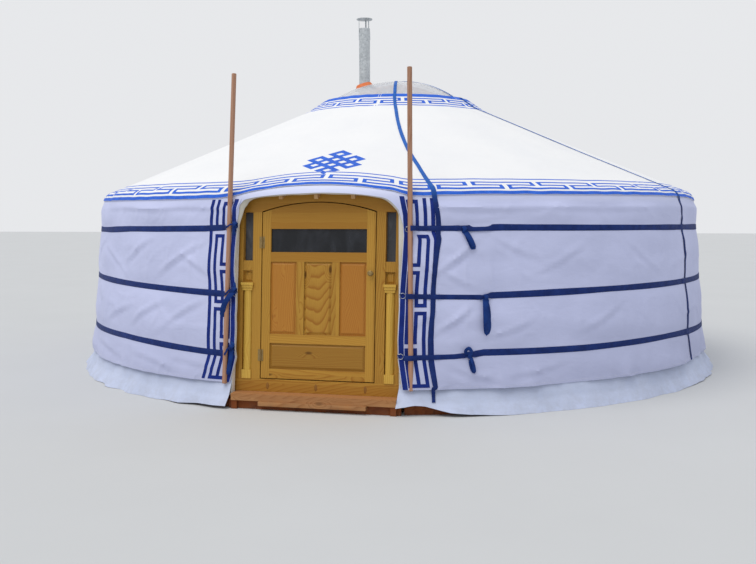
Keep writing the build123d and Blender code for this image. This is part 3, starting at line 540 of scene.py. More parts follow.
def sheet_mesh(outside, inside, uv, cells=None, wrap=False):
    """A closed mesh between two grids of points, over the cells that are filled. Rows run downwards."""
    rows, columns = outside.shape[:2]
    if cells is None:
        cells = np.ones((rows - 1, columns if wrap else columns - 1), bool)
    i, j = np.nonzero(cells)
    k = (j + 1) % columns
    back = rows * columns
    a, b, c, d = i * columns + j, (i + 1) * columns + j, (i + 1) * columns + k, i * columns + k
    faces = [np.stack([a, b, c, d], 1), np.stack([d, c, b, a], 1) + back]
    above = np.zeros_like(cells)
    above[1:] = cells[:-1]
    below = np.zeros_like(cells)
    below[:-1] = cells[1:]
    left = np.roll(cells, 1, axis=1)
    right = np.roll(cells, -1, axis=1)
    if not wrap:
        left[:, 0] = False
        right[:, -1] = False
    for neighbour, start, end in ((above, a, d), (below, c, b), (left, b, a), (right, d, c)):
        rim = ~neighbour[i, j]
        faces.append(np.stack([start[rim], end[rim], end[rim] + back, start[rim] + back], 1))
    faces = np.concatenate(faces)
    points = np.concatenate([outside.reshape(-1, 3), inside.reshape(-1, 3)])
    flat = np.concatenate([uv.reshape(-1, 2), uv.reshape(-1, 2)])
    used, faces = np.unique(faces, return_inverse=True)
    return points[used], faces.reshape(-1, 4), flat[used]


def closed_sheet(name, *grids, **how):
    """An object from two grids of points."""
    return new_object(name, *sheet_mesh(*grids, **how))


def layer(name, where, across, along, between, uv, **how):
    """A sheet laid on a surface by where(), between two distances outside it."""
    return closed_sheet(name, *(where(across, along, out) for out in between), uv, **how)


def grid_faces(rows, columns, closed=True):
    """Faces round a tube of points, ring after ring. A closed tube joins its last ring to its first."""
    faces = []
    for i in range(rows if closed else rows - 1):
        first, second = i * columns, (i + 1) % rows * columns
        for k in range(columns):
            m = (k + 1) % columns
            faces.append([first + k, first + m, second + m, second + k])
    return faces


def fine_marks(marks, step):
    """The marks with more between them, so that no two are further apart than the step."""
    fine = [marks[0]]
    owner = []
    for i, (low, high) in enumerate(zip(marks[:-1], marks[1:])):
        count = max(1, int(np.ceil((high - low) / step)))
        fine += list(low + (high - low) * (np.arange(count) + 1) / count)
        owner += [i] * count
    return np.array(fine), np.array(owner)


def applique(name, across, along, filled, steps, where, height=0.0010, base=-0.0002, wrap=False):
    """Cloth shapes sewn on: cells of a grid of marks that are filled, laid on a surface by where()."""
    across, across_owner = fine_marks(across, steps[0])
    along, along_owner = fine_marks(along, steps[1])
    cells = np.asarray(filled)[np.ix_(along_owner, across_owner)]
    if wrap:
        across = across[:-1]
    u, v = np.meshgrid(across, along)
    return layer(name, where, u, v, (base + height, base), np.stack([u, v], -1), cells=cells, wrap=wrap)


def key_pattern(periods, start, gap, bar, levels):
    """Marks and filled cells of a running key pattern. levels are the low and high marks of its 3 lines."""
    period = 360.0 / periods
    marks = []
    for i in range(2 * periods):
        middle = start + i * period / 2
        marks += [middle - gap / 2 - bar, middle - gap / 2, middle + gap / 2, middle + gap / 2 + bar]
    marks.append(marks[0] + 360)
    filled = np.zeros((5, len(marks) - 1), bool)
    for cell in range(len(marks) - 1):
        upper = (cell // 4) % 2 == 0
        in_gap = cell % 4 == 1
        is_bar = cell % 4 in (0, 2)
        filled[:, cell] = (not (in_gap and upper), is_bar and upper, not in_gap, is_bar and not upper,
                           not (in_gap and not upper))
    return marks, [mark for line in levels for mark in line], filled


def ribbon_mesh(line, outward, width, thickness=0.0024, closed=False):
    """Flat webbing along a line, its face towards outward, with rounded edges."""
    line = np.asarray(line, float)
    width = np.broadcast_to(np.asarray(width, float), len(line))
    tangent = unit(np.roll(line, -1, 0) - np.roll(line, 1, 0) if closed else np.gradient(line, axis=0))
    outward = np.broadcast_to(np.asarray(outward, float), line.shape)
    face = unit(outward - (outward * tangent).sum(1, keepdims=True) * tangent)
    side = np.cross(face, tangent)
    section = [(-0.5, 0.2), (-0.47, 0.5), (0, 0.56), (0.47, 0.5), (0.5, 0.2),
               (0.5, -0.2), (0.47, -0.5), (0, -0.46), (-0.47, -0.5), (-0.5, -0.2)]
    rings = np.stack([line + side * (a * width)[:, None] + face * b * thickness for a, b in section], 1)
    count, around = len(line), len(section)
    faces = grid_faces(count, around, closed)
    if not closed:
        for end, order in ((0, range(around - 1, -1, -1)), (count - 1, range(around))):
            faces.append([end * around + k for k in order])
    uv = np.stack([np.broadcast_to(distances(line)[:, None], (count, around)),
                   np.array([a for a, _ in section])[None, :] * width[:, None]], -1)
    return rings, faces, uv


def ring_mesh(centre, normal, radius, wire):
    """A round ring of wire."""
    turn = Vector(normal).normalized().to_track_quat("Z", "Y").to_matrix()
    big, small = 28, 8
    points = []
    for i in range(big):
        a = 2 * np.pi * i / big
        for k in range(small):
            b = 2 * np.pi * k / small
            reach = radius + wire * np.cos(b)
            points.append(list(turn @ Vector((reach * np.cos(a), reach * np.sin(a), wire * np.sin(b)))
                               + Vector(centre)))
    faces = [[a, d, c, b] for a, b, c, d in grid_faces(big, small)]
    return points, faces, np.zeros((len(points), 2))


# Cloth

def roof_cover():
    """Canvas over the roof, cut in an arch over the door."""
    azimuth = np.arange(0, 360, 0.75)
    share = np.linspace(0, 1, 84)[:, None] ** 0.8
    slope = share * edge_of_roof(azimuth)[None, :]
    azimuth = np.broadcast_to(azimuth, slope.shape)
    uv = np.stack([np.radians(azimuth) * np.interp(slope, outline[0], outline[1]), slope], -1)
    return layer("roof_canvas", on_roof, azimuth, slope, (0.0, -cloth), uv, wrap=True)


def opening_level(azimuth):
    """Level of the edge of the opening over the door."""
    arch = smooth_line(opening_arch, 200)
    height = np.interp(azimuth, arch[:, 0], arch[:, 1])
    levels = np.linspace(1.40, wall_top, 65)
    return np.array([np.interp(h, wall(a, levels)[:, 2], levels) for a, h in zip(azimuth, height)])


def wall_cover():
    """Canvas round the wall and over the door, with the opening for the door cut out."""
    edge = opening_arch[-1][0]
    near_door = np.concatenate([np.arange(edge, 19.05, 0.15), np.arange(19.2, 34, 0.25),
                                np.arange(34, 100, 0.5)])
    side = np.concatenate([near_door, np.arange(100, 260.1, 2.0), 360 - near_door[::-1]])
    over = np.linspace(-edge, edge, 64)[1:-1] + 360
    azimuth = np.concatenate([side, over])
    spring = opening_arch[0][1]
    low_rows = np.concatenate([np.linspace(hem_height, hem_height + 0.02, 3), np.linspace(0.24, spring, 52)])
    high = np.linspace(0, 1, 17)
    level = np.zeros((len(low_rows) + len(high) - 1, len(azimuth)))
    level[:len(low_rows)] = low_rows[:, None]
    level[len(low_rows) - 1:] = spring + high[:, None] * (wall_top - spring)
    start = opening_level(over - 360)
    level[len(low_rows) - 1:, len(side):] = start + high[:, None] * (wall_top - start)
    level = level[::-1]
    cells = np.ones((level.shape[0] - 1, len(azimuth)), bool)
    cells[len(high) - 1:, len(side) - 1:] = False
    azimuth = np.broadcast_to(azimuth, level.shape)
    uv = np.stack([np.radians(azimuth) * corner[0], level], -1)
    return layer("wall_canvas", on_wall, azimuth, level, (0.0, -cloth), uv, cells=cells, wrap=True)


pleat_waves = ripples(21, 10, (28, 74), (0.0, 2.0))
slow_pleats = ripples(23, 6, (5, 17), (0.0, 1.0))
sharp_pleats = ripples(25, 8, (24, 60), (0.0, 1.0))


def skirt_surface(azimuth, share):
    """Outside of the skirt, from its top behind the hem at share 0 to its foot at share 1."""
    azimuth, share = matched(azimuth, share)
    foot = read_off(signed(azimuth), skirt_foot_heights)
    foot = foot + 0.004 * np.maximum(0, slow_pleats(azimuth, 0 * azimuth))
    height = skirt_top + (foot - skirt_top) * share
    radius = read_off(height, skirt_outline)
    free = smooth_step(0.15, 1.0, share)
    folds = skirt_folds[0] * pleat_waves(azimuth, height) + skirt_folds[1] * slow_pleats(azimuth, height)
    folds = folds + skirt_folds[2] * ridge(sharp_pleats(azimuth, height), 0.4)
    radius = radius + free * (folds - 0.004)
    turn = signed(azimuth)
    spread = 0.6 * share * (1 - smooth_step(12.0, 16.0, turn)) * (turn > 0)
    return place(azimuth - spread, np.maximum(radius, skirt_inside), height)


def on_skirt(azimuth, share, out):
    """Points at a distance outside the skirt, none below the ground."""
    points = offset(skirt_surface, azimuth, share, out)
    points[..., 2] = np.maximum(points[..., 2], 0)
    return points


def skirt():
    """Pleated canvas skirt from behind the hem to the ground."""
    azimuth, share = np.meshgrid(np.linspace(12.3, 347.7, 900), np.linspace(0, 1, 15))
    uv = np.stack([np.radians(azimuth) * corner[0], share * 0.24], -1)
    return layer("skirt_canvas", on_skirt, azimuth, share, (0.0, -cloth), uv)


def felt_cut_back(name):
    """A roof felt cut back over the door, so that it stays behind the edge of the cover."""
    mesh = nodes[name].data.copy()
    work = bmesh.new()
    work.from_mesh(mesh)
    bmesh.ops.remove_doubles(work, verts=work.verts, dist=1e-5)
    work.to_mesh(mesh)
    work.free()
    piece = shown(name + "_cut_back", mesh)
    (x0, y0, z0), (x1, y1, z1) = felt_cut
    corners = [(x, y, z) for z in (z0, z1) for y in (y0, y1) for x in (x0, x1)]
    sides = [(0, 2, 3, 1), (4, 5, 7, 6), (0, 1, 5, 4), (2, 6, 7, 3), (0, 4, 6, 2), (1, 3, 7, 5)]
    block = bpy.data.meshes.new("felt_cut")
    block.from_pydata(corners, [], sides)
    cutter = shown("felt_cut", block)
    cut = piece.modifiers.new("cut", "BOOLEAN")
    cut.operation = "DIFFERENCE"
    cut.solver = "EXACT"
    cut.object = cutter
    settle(piece)
    bpy.data.objects.remove(cutter)
    return piece


def opening_lining():
    """Lining turned in along the edge of the opening, wider in its upper corners."""
    arch = smooth_line(opening_arch, 60)
    rise = np.linspace(0.215, opening_arch[0][1], 60)[:-1]
    azimuth = np.concatenate([np.full(59, opening_arch[0][0]), arch[:, 0], np.full(59, opening_arch[-1][0])])
    height = np.concatenate([rise, arch[:, 1], rise[::-1]])
    levels = np.linspace(0.2, wall_top, 200)
    level = np.array([np.interp(h, wall(a, levels)[:, 2], levels) for a, h in zip(azimuth, height)])
    edge = on_wall(azimuth, level, -0.006)
    middle = place(0 * azimuth, 3.07 + 0 * azimuth, np.minimum(height, 1.35))
    inward = unit(middle - edge)
    corner_share = np.exp(-((np.abs(azimuth) - 11.6) / 1.3) ** 2) * smooth_step(1.40, 1.56, height)
    corner_share = corner_share * np.where(azimuth < 0, 1.0, 0.4)
    reach = 0.003 + 0.028 * corner_share + 0.0012 * fine_waves(azimuth, 3 * height)
    face = on_wall(azimuth, level, 0.0)
    rows = []
    for share in np.linspace(0, 1, 6):
        along = -0.006 + share * (reach + 0.006)
        back = -0.010 * share ** 2 - 0.012 * corner_share * share
        rows.append(edge + inward * along[:, None] + on_wall(azimuth, level, back) - face)
    grid = np.stack(rows)
    behind = on_wall(azimuth, level, -0.0025) - face
    uv = np.stack(np.meshgrid(distances(edge), np.linspace(0, 0.021, 6)), -1)
    return closed_sheet("opening_lining", grid, grid + behind[None], uv)


def eave_band():
    """White band sewn along the edge of the roof cover, under the pattern."""
    azimuth, up = np.meshgrid(np.arange(0, 360, 0.75), np.linspace(band_width, -0.0015, 14))
    slope = edge_of_roof(azimuth) - up
    uv = np.stack([np.radians(azimuth) * corner[0], slope], -1)
    return layer("eave_band", on_roof, azimuth, slope, (0.0016, 0.0002), uv, wrap=True)


def on_eave(azimuth, down, out):
    """Places on the eave's band, by the distance down from the cover's edge."""
    return on_roof(azimuth, edge_of_roof(azimuth) + down, out)


def eave_pattern():
    """Key pattern along the edge of the roof, between its borders."""
    levels = [(-eave_lines[k][1], -eave_lines[k][0]) for k in ("first", "second", "third")]
    marks, rows, filled = key_pattern(eave_periods, eave_gap_azimuth, *eave_steps, levels)
    made = [applique("eave_key_pattern", marks, rows, filled, (0.75, 0.02), on_eave, base=0.0014, wrap=True)]
    for key in ("border", "top"):
        low, high = eave_lines[key]
        made.append(applique(f"eave_{key}", [0, 360], [-high, -low], [[True]], (0.75, 0.01), on_eave,
                             base=0.0014, wrap=True))
    return made


def crown_pattern():
    """Key pattern round the crown, under its dark edge."""
    marks, rows, filled = key_pattern(crown_periods, crown_gap_azimuth, *crown_steps, crown_levels)
    made = [applique("crown_key_pattern", marks, rows, filled, (1.5, 0.015), on_roof, wrap=True)]
    for name, edges in crown_stripes.items():
        made.append(applique(name, [0, 360], list(edges), [[True]], (1.5, 0.015), on_roof, wrap=True))
    return made


def roof_knot():
    """Endless knot over the door, as strips round ten open cells."""
    half = knot_stroke / knot_cell / 2
    marks = sorted([k + side * half for k in (-2, -1, 0, 1, 2) for side in (-1, 1)])
    filled = np.zeros((len(marks) - 1, len(marks) - 1), bool)
    for row in range(len(marks) - 1):
        for column in range(len(marks) - 1):
            p = (marks[column] + marks[column + 1]) / 2
            q = -(marks[row] + marks[row + 1]) / 2
            reach = min(max(abs(p - a), abs(q - b)) for a, b in knot_holes)
            filled[row, column] = 0.5 - half <= reach < 0.5 + half

    def where(p, minus_q, out):
        side = (p - minus_q) * knot_cell / np.sqrt(2)
        slope = knot_centre[1] + (p + minus_q) * knot_cell / np.sqrt(2)
        azimuth = knot_centre[0] + np.degrees(side / np.interp(slope, outline[0], outline[1]))
        return on_roof(azimuth, slope, out)

    return applique("roof_knot", marks, marks, filled, (0.25, 0.25), where)


def door_band(side):
    """Upright key pattern beside the door, between two stripes. side is 1 on the right and -1 on the left."""
    word = "right" if side > 0 else "left"
    top_inner, top_outer = stripe_tops[side]

    def piece(name, across, rows, filled):
        rows = [-row for row in reversed(rows)]
        filled = np.asarray(filled)[::-1]
        if side < 0:
            across = [-mark for mark in reversed(across)]
            filled = filled[:, ::-1]

        def where(metres, down, out):
            azimuth = side * opening_arch[-1][0] + np.degrees(metres / 3.15)
            return on_wall(azimuth, -down, out)

        return applique(f"door_band_{word}_{name}", across, rows, filled, (0.008, 0.011), where, 0.0012,
                        0.0002)

    stripes = [piece("inner", list(door_columns["inner"]), [stripe_feet[0], top_inner], [[True]]),
               piece("outer", list(door_columns["outer"]), [stripe_feet[1], top_outer], [[True]])]
    higher = right_rise if side > 0 else 0.0
    gaps_c, gaps_a = door_gaps[0], (door_gaps[1][0] + higher, door_gaps[1][1])
    head = (door_head[0] + higher, door_head[1] + higher)
    rows = {*door_foot, *head, top_outer}
    bar = door_half_gap + stroke
    for middle in gaps_c + gaps_a:
        rows |= {middle + step for step in (-bar, -door_half_gap, door_half_gap, bar)}
    rows = sorted(rows)
    filled = []
    for low, high in zip(rows[:-1], rows[1:]):
        z = (low + high) / 2
        away_c, away_a = [min(abs(z - middle) for middle in gaps) for gaps in (gaps_c, gaps_a)]
        in_c, in_a = away_c < door_half_gap, away_a < door_half_gap
        bar_c, bar_a = door_half_gap < away_c < bar, door_half_gap < away_a < bar
        in_foot, in_head, under_head = z < door_foot[1], head[0] < z < head[1], z < head[1]
        filled.append([not in_a and under_head, bar_a or in_foot or in_head,
                       not (in_a or in_c) and under_head, bar_c or in_foot, not in_c])
    across = [*door_columns["a"], *door_columns["b"], *door_columns["c"]]
    return stripes + [piece("key", across, rows, filled)]


# Webbing and rings

def outward_at(azimuth):
    """Level direction away from the middle of the tent."""
    angle = np.radians(azimuth)
    return np.stack([np.sin(angle), -np.cos(angle), 0 * angle], -1)


def near(azimuth, middle, width):
    """1 at an azimuth, fading to 0 at a distance from it."""
    return 1 - smooth_step(0.35 * width, width, np.abs(signed(azimuth - middle)))


def belt(index):
    """A belt round the wall, over the crown straps and over the poles, from tie to tie."""
    azimuth = np.linspace(right_rings[index][0] + 0.38, 360 + left_ties[index][0], 1400)
    wander = ripples(31 + index, 8, (4, 30), (0.0, 1.0))(azimuth, azimuth * 0)
    level = belt_level(index, azimuth)
    level = level + (left_ties[index][1] - belt_level(index, left_ties[index][0])) * near(azimuth, 347.6, 1.2)
    straps = sum(near(azimuth, at, 1.6) for at in strap_azimuths)
    poles = sum(near(azimuth, at, 1.15) for at in pole_azimuths)
    tie = right_ties[index][0]
    out = 0.0016 + 0.0054 * np.clip(straps, 0, 1) + 0.0400 * np.clip(poles, 0, 1)
    out = out + 0.006 * near(azimuth, tie, 1.5)
    width = belt_width - 0.034 * near(azimuth, 360 - 12.6, 2.1) - 0.012 * near(azimuth, tie, 0.9)
    width = width - 0.010 * (azimuth < tie) * smooth_step(0, 1, tie - azimuth) + 0.0022 * wander
    line = on_wall(azimuth, level, out)
    roll = 0.35 * near(azimuth, tie + 2.2, 2.6) if index == 0 else 0.0
    outward = outward_at(azimuth) + np.stack([0 * azimuth, 0 * azimuth, 0.08 + roll + 0 * azimuth], -1)
    return new_object(f"webbing_belt_{belt_names[index]}", *ribbon_mesh(line, outward, width), sharp=50)


def crown_strap(name, paths, falls, lift):
    """Strap over the dome and down both sides of the tent, in two halves from the crown's middle."""
    halves = []
    for path, fall in zip(paths, falls):
        azimuths, slopes = zip(*path)
        half = []
        for radius in np.linspace(0.04, dome_edge - 0.025, 16):
            height = dome_middle + np.sqrt(dome_ball ** 2 - radius ** 2)
            half.append(place(azimuths[0], radius, height + dome_clear + lift))
        edge = edge_of_roof(azimuths[-1])
        for slope in np.linspace(0.012, edge - 0.004, 70):
            half.append(on_roof(np.interp(slope, slopes, azimuths), slope, roof_clear + 0.4 * lift))
        level = np.linspace(1.635, fall[-1][1], 50)
        line_down = smooth_line(fall, 80)[::-1]
        azimuth = np.interp(level, line_down[:, 1], line_down[:, 0]) + 0.05 * np.sin(level * 9)
        down = on_wall(azimuth, np.maximum(level, hem_height), wall_clear)
        low = level < hem_height + 0.004
        clear = 0.006 + 0.034 * smooth_step(0.12, hem_height, level[low])
        down[low] = on_skirt(azimuth[low], (skirt_top - level[low]) / skirt_top, clear)
        halves.append(np.concatenate([half, down]))
    line = smooth_line(np.concatenate([halves[1][::-1], halves[0]]), 700)
    outward = unit(line - np.array([0, 0, 0.2]))
    radius = np.hypot(line[:, 0], line[:, 1])
    down_wall = smooth_step(3.02, 3.10, radius)
    level_out = outward_at(np.degrees(np.arctan2(line[:, 0], -line[:, 1])))
    outward = outward * (1 - down_wall)[:, None] + level_out * down_wall[:, None]
    side_way = unit(np.cross(np.gradient(line, axis=0), outward))
    twist = down_wall * 0.08 * np.sin(line[:, 2] * 11 + 0.6)
    outward = outward + side_way * twist[:, None]
    width = strap_width + 0.006 * smooth_step(2.6, 3.10, radius) + 0.0012 * np.sin(line[:, 2] * 23)
    width = width - 0.012 * (1 - smooth_step(0.12, 0.26, line[:, 2]))
    return new_object(name, *ribbon_mesh(line, outward, width), sharp=50)


def band_round(centre, along, outward, half_length, half_depth, width):
    """A turn of webbing round a belt, as part of a knot."""
    across = np.cross(unit(outward), unit(along))
    turn = np.linspace(0, 2 * np.pi, 28, endpoint=False)[:, None]
    spokes = np.cos(turn) * across * half_length + np.sin(turn) * unit(outward) * half_depth
    return ribbon_mesh(centre + spokes, spokes, width, closed=True)


def tie(name, azimuth, height, size, hanging):
    """A knot in a belt. hanging gives the points and the width of each of its loops and tails."""
    centre = on_wall(azimuth, height, 0.011)
    outward = outward_at(azimuth)
    along = outward_at(azimuth + 90)
    up = np.array([0, 0, 1.0])
    turns = ((0.0, 0.35, 0.026, 0.013, 0.024), (0.004, -0.8, 0.022, 0.015, 0.022))
    parts = [band_round(centre + outward * out, along + rise * up, outward, half * size, depth, width * size)
             for out, rise, half, depth, width in turns]
    for k, (points, width) in enumerate(hanging):
        places = [on_wall(a, z, out) for a, z, out in points]
        line = smooth_line(np.array(places), 40)
        turn = 0.5 * np.sin(np.linspace(0, 2.4, 40) + k)
        facing = outward[None] + along[None] * turn[:, None]
        end = 1 - 0.25 * smooth_step(0.9, 1.0, np.linspace(0, 1, 40))
        parts.append(ribbon_mesh(line, facing, width * end, 0.0022))
    return merged(name, parts)


def ties():
    """The knots at both ends of the belts."""
    made = []
    for index, word in enumerate(belt_names):
        made.append(tie(f"tie_right_{word}", *right_ties[index], 1.0, right_loops[index]))
        made.append(tie(f"tie_left_{word}", *left_ties[index], 1.15, left_tails[index]))
    return made


def rings():
    """Wire rings that the belts are tied to, beside the door, and the tabs that hold them."""
    wires, tabs = [], []
    for azimuth, height in right_rings + left_rings:
        centre = on_wall(azimuth, height, 0.0045)
        wires.append(ring_mesh(centre, outward_at(azimuth), ring_radius, steel_wire))
        if azimuth > 0:
            tab = [on_wall(azimuth - step, height, out) for step, out in
                   ((0.42, 0.0015), (0.36, 0.0040), (0.30, 0.0085), (0.26, 0.0030))]
            tabs.append(ribbon_mesh(smooth_line(np.array(tab), 16), outward_at(azimuth), 0.030, 0.002))
    return merged("belt_rings", wires), merged("ring_tabs", tabs)


# Small repeated things, grown on points and lines

def new_nodes(tree, *kinds):
    """New nodes of a tree, one of each kind."""
    return [tree.nodes.new(kind) for kind in kinds]


def join(tree, *pairs):
    """Links pairs of sockets."""
    for first, second in pairs:
        tree.links.new(first, second)


def beads_tree(name, sizes, segments, rings, stretch_by):
    """A geometry tree that sets small balls on points. Its caller links the points and their turn."""
    tree = bpy.data.node_groups.new(name, "GeometryNodeTree")
    made = {}
    for key, way, kind in (("Geometry", "INPUT", "Geometry"), ("Geometry", "OUTPUT", "Geometry"),
                           *((key, "INPUT", "Float") for key in sizes), ("Material", "INPUT", "Material")):
        made[key] = tree.interface.new_socket(name=key, in_out=way, socket_type="NodeSocket" + kind)
    for key, value in sizes.items():
        made[key].default_value = value
    start, end, ball, stretch, shape, spread, real, painted = new_nodes(
        tree, "NodeGroupInput", "NodeGroupOutput", "GeometryNodeMeshUVSphere", "ShaderNodeCombineXYZ",
        "GeometryNodeTransform", "GeometryNodeInstanceOnPoints", "GeometryNodeRealizeInstances",
        "GeometryNodeSetMaterial")
    ball.inputs["Segments"].default_value = segments
    ball.inputs["Rings"].default_value = rings
    for index in (0, 1):
        stretch.inputs[index].default_value = 1.0
    join(tree, (start.outputs["Radius"], ball.inputs["Radius"]),
         (start.outputs[stretch_by], stretch.inputs[2]),
         (ball.outputs["Mesh"], shape.inputs["Geometry"]),
         (stretch.outputs[0], shape.inputs["Scale"]),
         (shape.outputs[0], spread.inputs["Instance"]),
         (spread.outputs[0], real.inputs[0]),
         (real.outputs[0], painted.inputs["Geometry"]),
         (start.outputs["Material"], painted.inputs["Material"]),
         (painted.outputs[0], end.inputs[0]))
    return tree, start, spread


def heads_tree():
    """Small rounded heads at every point of a mesh."""
    tree, start, spread = beads_tree("rounded_heads", {"Radius": 0.005, "Height": 0.5}, 8, 5, "Height")
    align, normal = new_nodes(tree, "FunctionNodeAlignRotationToVector", "GeometryNodeInputNamedAttribute")
    normal.data_type = "FLOAT_VECTOR"
    normal.inputs["Name"].default_value = "facing"
    join(tree, (start.outputs["Geometry"], spread.inputs["Points"]),
         (normal.outputs["Attribute"], align.inputs["Vector"]),
         (align.outputs[0], spread.inputs["Rotation"]))
    return tree


def stitches_tree():
    """Stitches along every edge line of a mesh."""
    tree, start, spread = beads_tree("row_of_stitches", stitch_sizes, 5, 4, "Length")
    curve, points = new_nodes(tree, "GeometryNodeMeshToCurve", "GeometryNodeCurveToPoints")
    points.mode = "LENGTH"
    join(tree, (start.outputs["Geometry"], curve.inputs[0]),
         (curve.outputs[0], points.inputs["Curve"]),
         (start.outputs["Pitch"], points.inputs["Length"]),
         (points.outputs["Points"], spread.inputs["Points"]),
         (points.outputs["Rotation"], spread.inputs["Rotation"]))
    return tree


def grown(name, points, edges, tree, paint, facing=None, **sizes):
    """An object that a geometry tree grows on points or lines, as a plain mesh."""
    mesh = bpy.data.meshes.new(name)
    mesh.from_pydata(np.asarray(points).tolist(), edges, [])
    if facing is not None:
        mesh.attributes.new("facing", "FLOAT_VECTOR", "POINT").data.foreach_set(
            "vector", np.asarray(facing, np.float32).ravel())
    made = shown(name, mesh)
    grower = made.modifiers.new("grow", "NODES")
    grower.node_group = tree
    sockets = {item.name: item.identifier for item in tree.interface.items_tree if item.in_out == "INPUT"}
    for key, value in sizes.items():
        grower[sockets[key]] = value
    grower[sockets["Material"]] = paints[paint]
    made.update_tag()
    settle(made)
    made.data.name = name
    made.data.polygons.foreach_set("use_smooth", [True] * len(made.data.polygons))
    return made


def lattice_thongs(tree):
    """Knotted thongs at the crossings of the lattice, on its inner side."""
    pitch = (360 - 2 * lattice_start) / lattice_columns
    low, high = lattice_levels
    points, facing = [], []
    for step in range(-lattice_rows, lattice_rows + 1):
        height = (low + high) / 2 + step * (high - low) / (2 * lattice_rows)
        for column in range(2 * lattice_columns):
            azimuth = lattice_start + (column + 1) * pitch / 2
            inside = lattice_start + 0.5 < azimuth < 360 - lattice_start - 0.5
            if (column + step) % 2 == 0 or not inside:
                continue
            radius = corner[0] + (corner[1] - height) * np.tan(wall_lean) - felt_inside
            points.append(place(azimuth, radius, height))
            facing.append(-outward_at(azimuth))
    return grown("lattice_knots", points, [], tree, "leather", facing, Radius=0.008, Height=0.6)


def door_place(x, depth, up):
    """Point in the leaning plane of the door: x across, depth inwards and up along the frame."""
    front = -(corner[0] + corner[1] * np.tan(wall_lean) - door_plane)
    lean_sin, lean_cos = np.sin(wall_lean), np.cos(wall_lean)
    return np.array([x, front + depth * lean_cos + up * lean_sin, up * lean_cos - depth * lean_sin])


def stitch_rows(tree):
    """Sewn rows along the hem and along the edge of the roof cover."""
    azimuth = np.linspace(12.9, 347.1, 900)
    made = []
    lines = {"hem_stitches": on_wall(azimuth, hem_height + 0.018 + 0 * azimuth, 0.0002),
             "eave_stitches": on_eave(np.linspace(0.1, 359.9, 900), -0.036 + 0 * azimuth, 0.0017)}
    for name, line in lines.items():
        edges = [(i, i + 1) for i in range(len(line) - 1)]
        made.append(grown(name, line, edges, tree, "thread", **stitch_sizes))
    return made


def pegs():
    """Dark wooden pegs through the bottom rail of the frame."""
    parts = []
    turn = np.linspace(0, 2 * np.pi, peg_sides, endpoint=False)
    for x in peg_places:
        points = []
        for depth, share in ((-0.0016, 0.75), (-0.0004, 1.0), (0.004, 1.0)):
            points += [door_place(x + share * peg_half[0] * np.cos(t), depth,
                                  peg_height + share * peg_half[1] * np.sin(t)) for t in turn]
        ends = [list(range(peg_sides))[::-1], list(range(2 * peg_sides, 3 * peg_sides))]
        parts.append((points, grid_faces(3, peg_sides, False) + ends, np.zeros((len(points), 2))))
    return merged("rail_pegs", parts)


# Materials

class Nodes:
    """Nodes of a material or of a node group, made one by one."""

    def __init__(self, tree):
        self.tree = tree

    def feed(self, made, sockets):
        """Links or sets the sockets of a node. A colour is given as red, green and blue."""
        for key, value in sockets.items():
            socket = made.inputs[key]
            if isinstance(value, bpy.types.NodeSocket):
                self.tree.links.new(value, socket)
            elif socket.type == "RGBA":
                socket.default_value = (*value, 1.0)
            else:
                socket.default_value = value

    def node(self, kind, sockets=None, **settings):
        """A node with its settings and with its sockets linked or set."""
        made = self.tree.nodes.new("ShaderNode" + kind)
        for key, value in settings.items():
            setattr(made, key, value)
        self.feed(made, sockets or {})
        return made

    def use(self, group, **sockets):
        """A node group in this tree."""
        return self.node("Group", sockets, node_tree=group).outputs

    def stretched(self, where, scale):
        """Places, scaled along each axis."""
        return self.node("Mapping", {"Vector": where, "Scale": scale}).outputs[0]

    def place(self, scale=(1, 1, 1), kind="Object"):
        """Coordinates on the piece, stretched."""
        return self.stretched(self.node("TexCoord").outputs[kind], scale)

    def noise(self, where, scale, detail=4.0, rough=0.55, twist=0.0):
        """Smooth noise from 0 to 1."""
        return self.node("TexNoise", {"Vector": where, "Scale": scale, "Detail": detail, "Roughness": rough,
                                      "Distortion": twist}).outputs[0]

    def ramp(self, value, stops):
        """A number along a value, by pairs of position and number."""
        made = self.node("ValToRGB", {"Fac": value})
        band = made.color_ramp
        while len(band.elements) < len(stops):
            band.elements.new(0.5)
        for element, (position, level) in zip(band.elements, stops):
            element.position = position
            element.color = (level, level, level, 1.0)
        return made.outputs[0]

    def span(self, value, low, high, first=0.0, last=1.0):
        """A number that runs from first to last while a value runs from low to high."""
        return self.node("MapRange", {"Value": value, "From Min": low, "From Max": high, "To Min": first,
                                      "To Max": last}).outputs[0]

    def mix(self, share, first, second):
        """One colour mixed into another."""
        return self.node("Mix", {0: share, 6: first, 7: second}, data_type="RGBA").outputs[2]

    def blend(self, value, low, high, first, second, most=1.0):
        """The first colour, with more of the second as a value runs from low to high."""
        return self.mix(self.span(value, low, high, 0.0, most), first, second)

    def maths(self, kind, *numbers):
        """A step on numbers."""
        return self.node("Math", dict(enumerate(numbers)), operation=kind).outputs[0]

    def vectors(self, kind, *given):
        """A step on places."""
        return self.node("VectorMath", dict(enumerate(given)), operation=kind).outputs[0]

    def axis(self, where, index):
        """One coordinate."""
        return self.node("SeparateXYZ", {"Vector": where}).outputs[index]

    def bump(self, height, distance, strength, before=None):
        """Relief from a height."""
        sockets = {"Height": height, "Distance": distance, "Strength": strength}
        if before is not None:
            sockets["Normal"] = before
        return self.node("Bump", sockets).outputs[0]


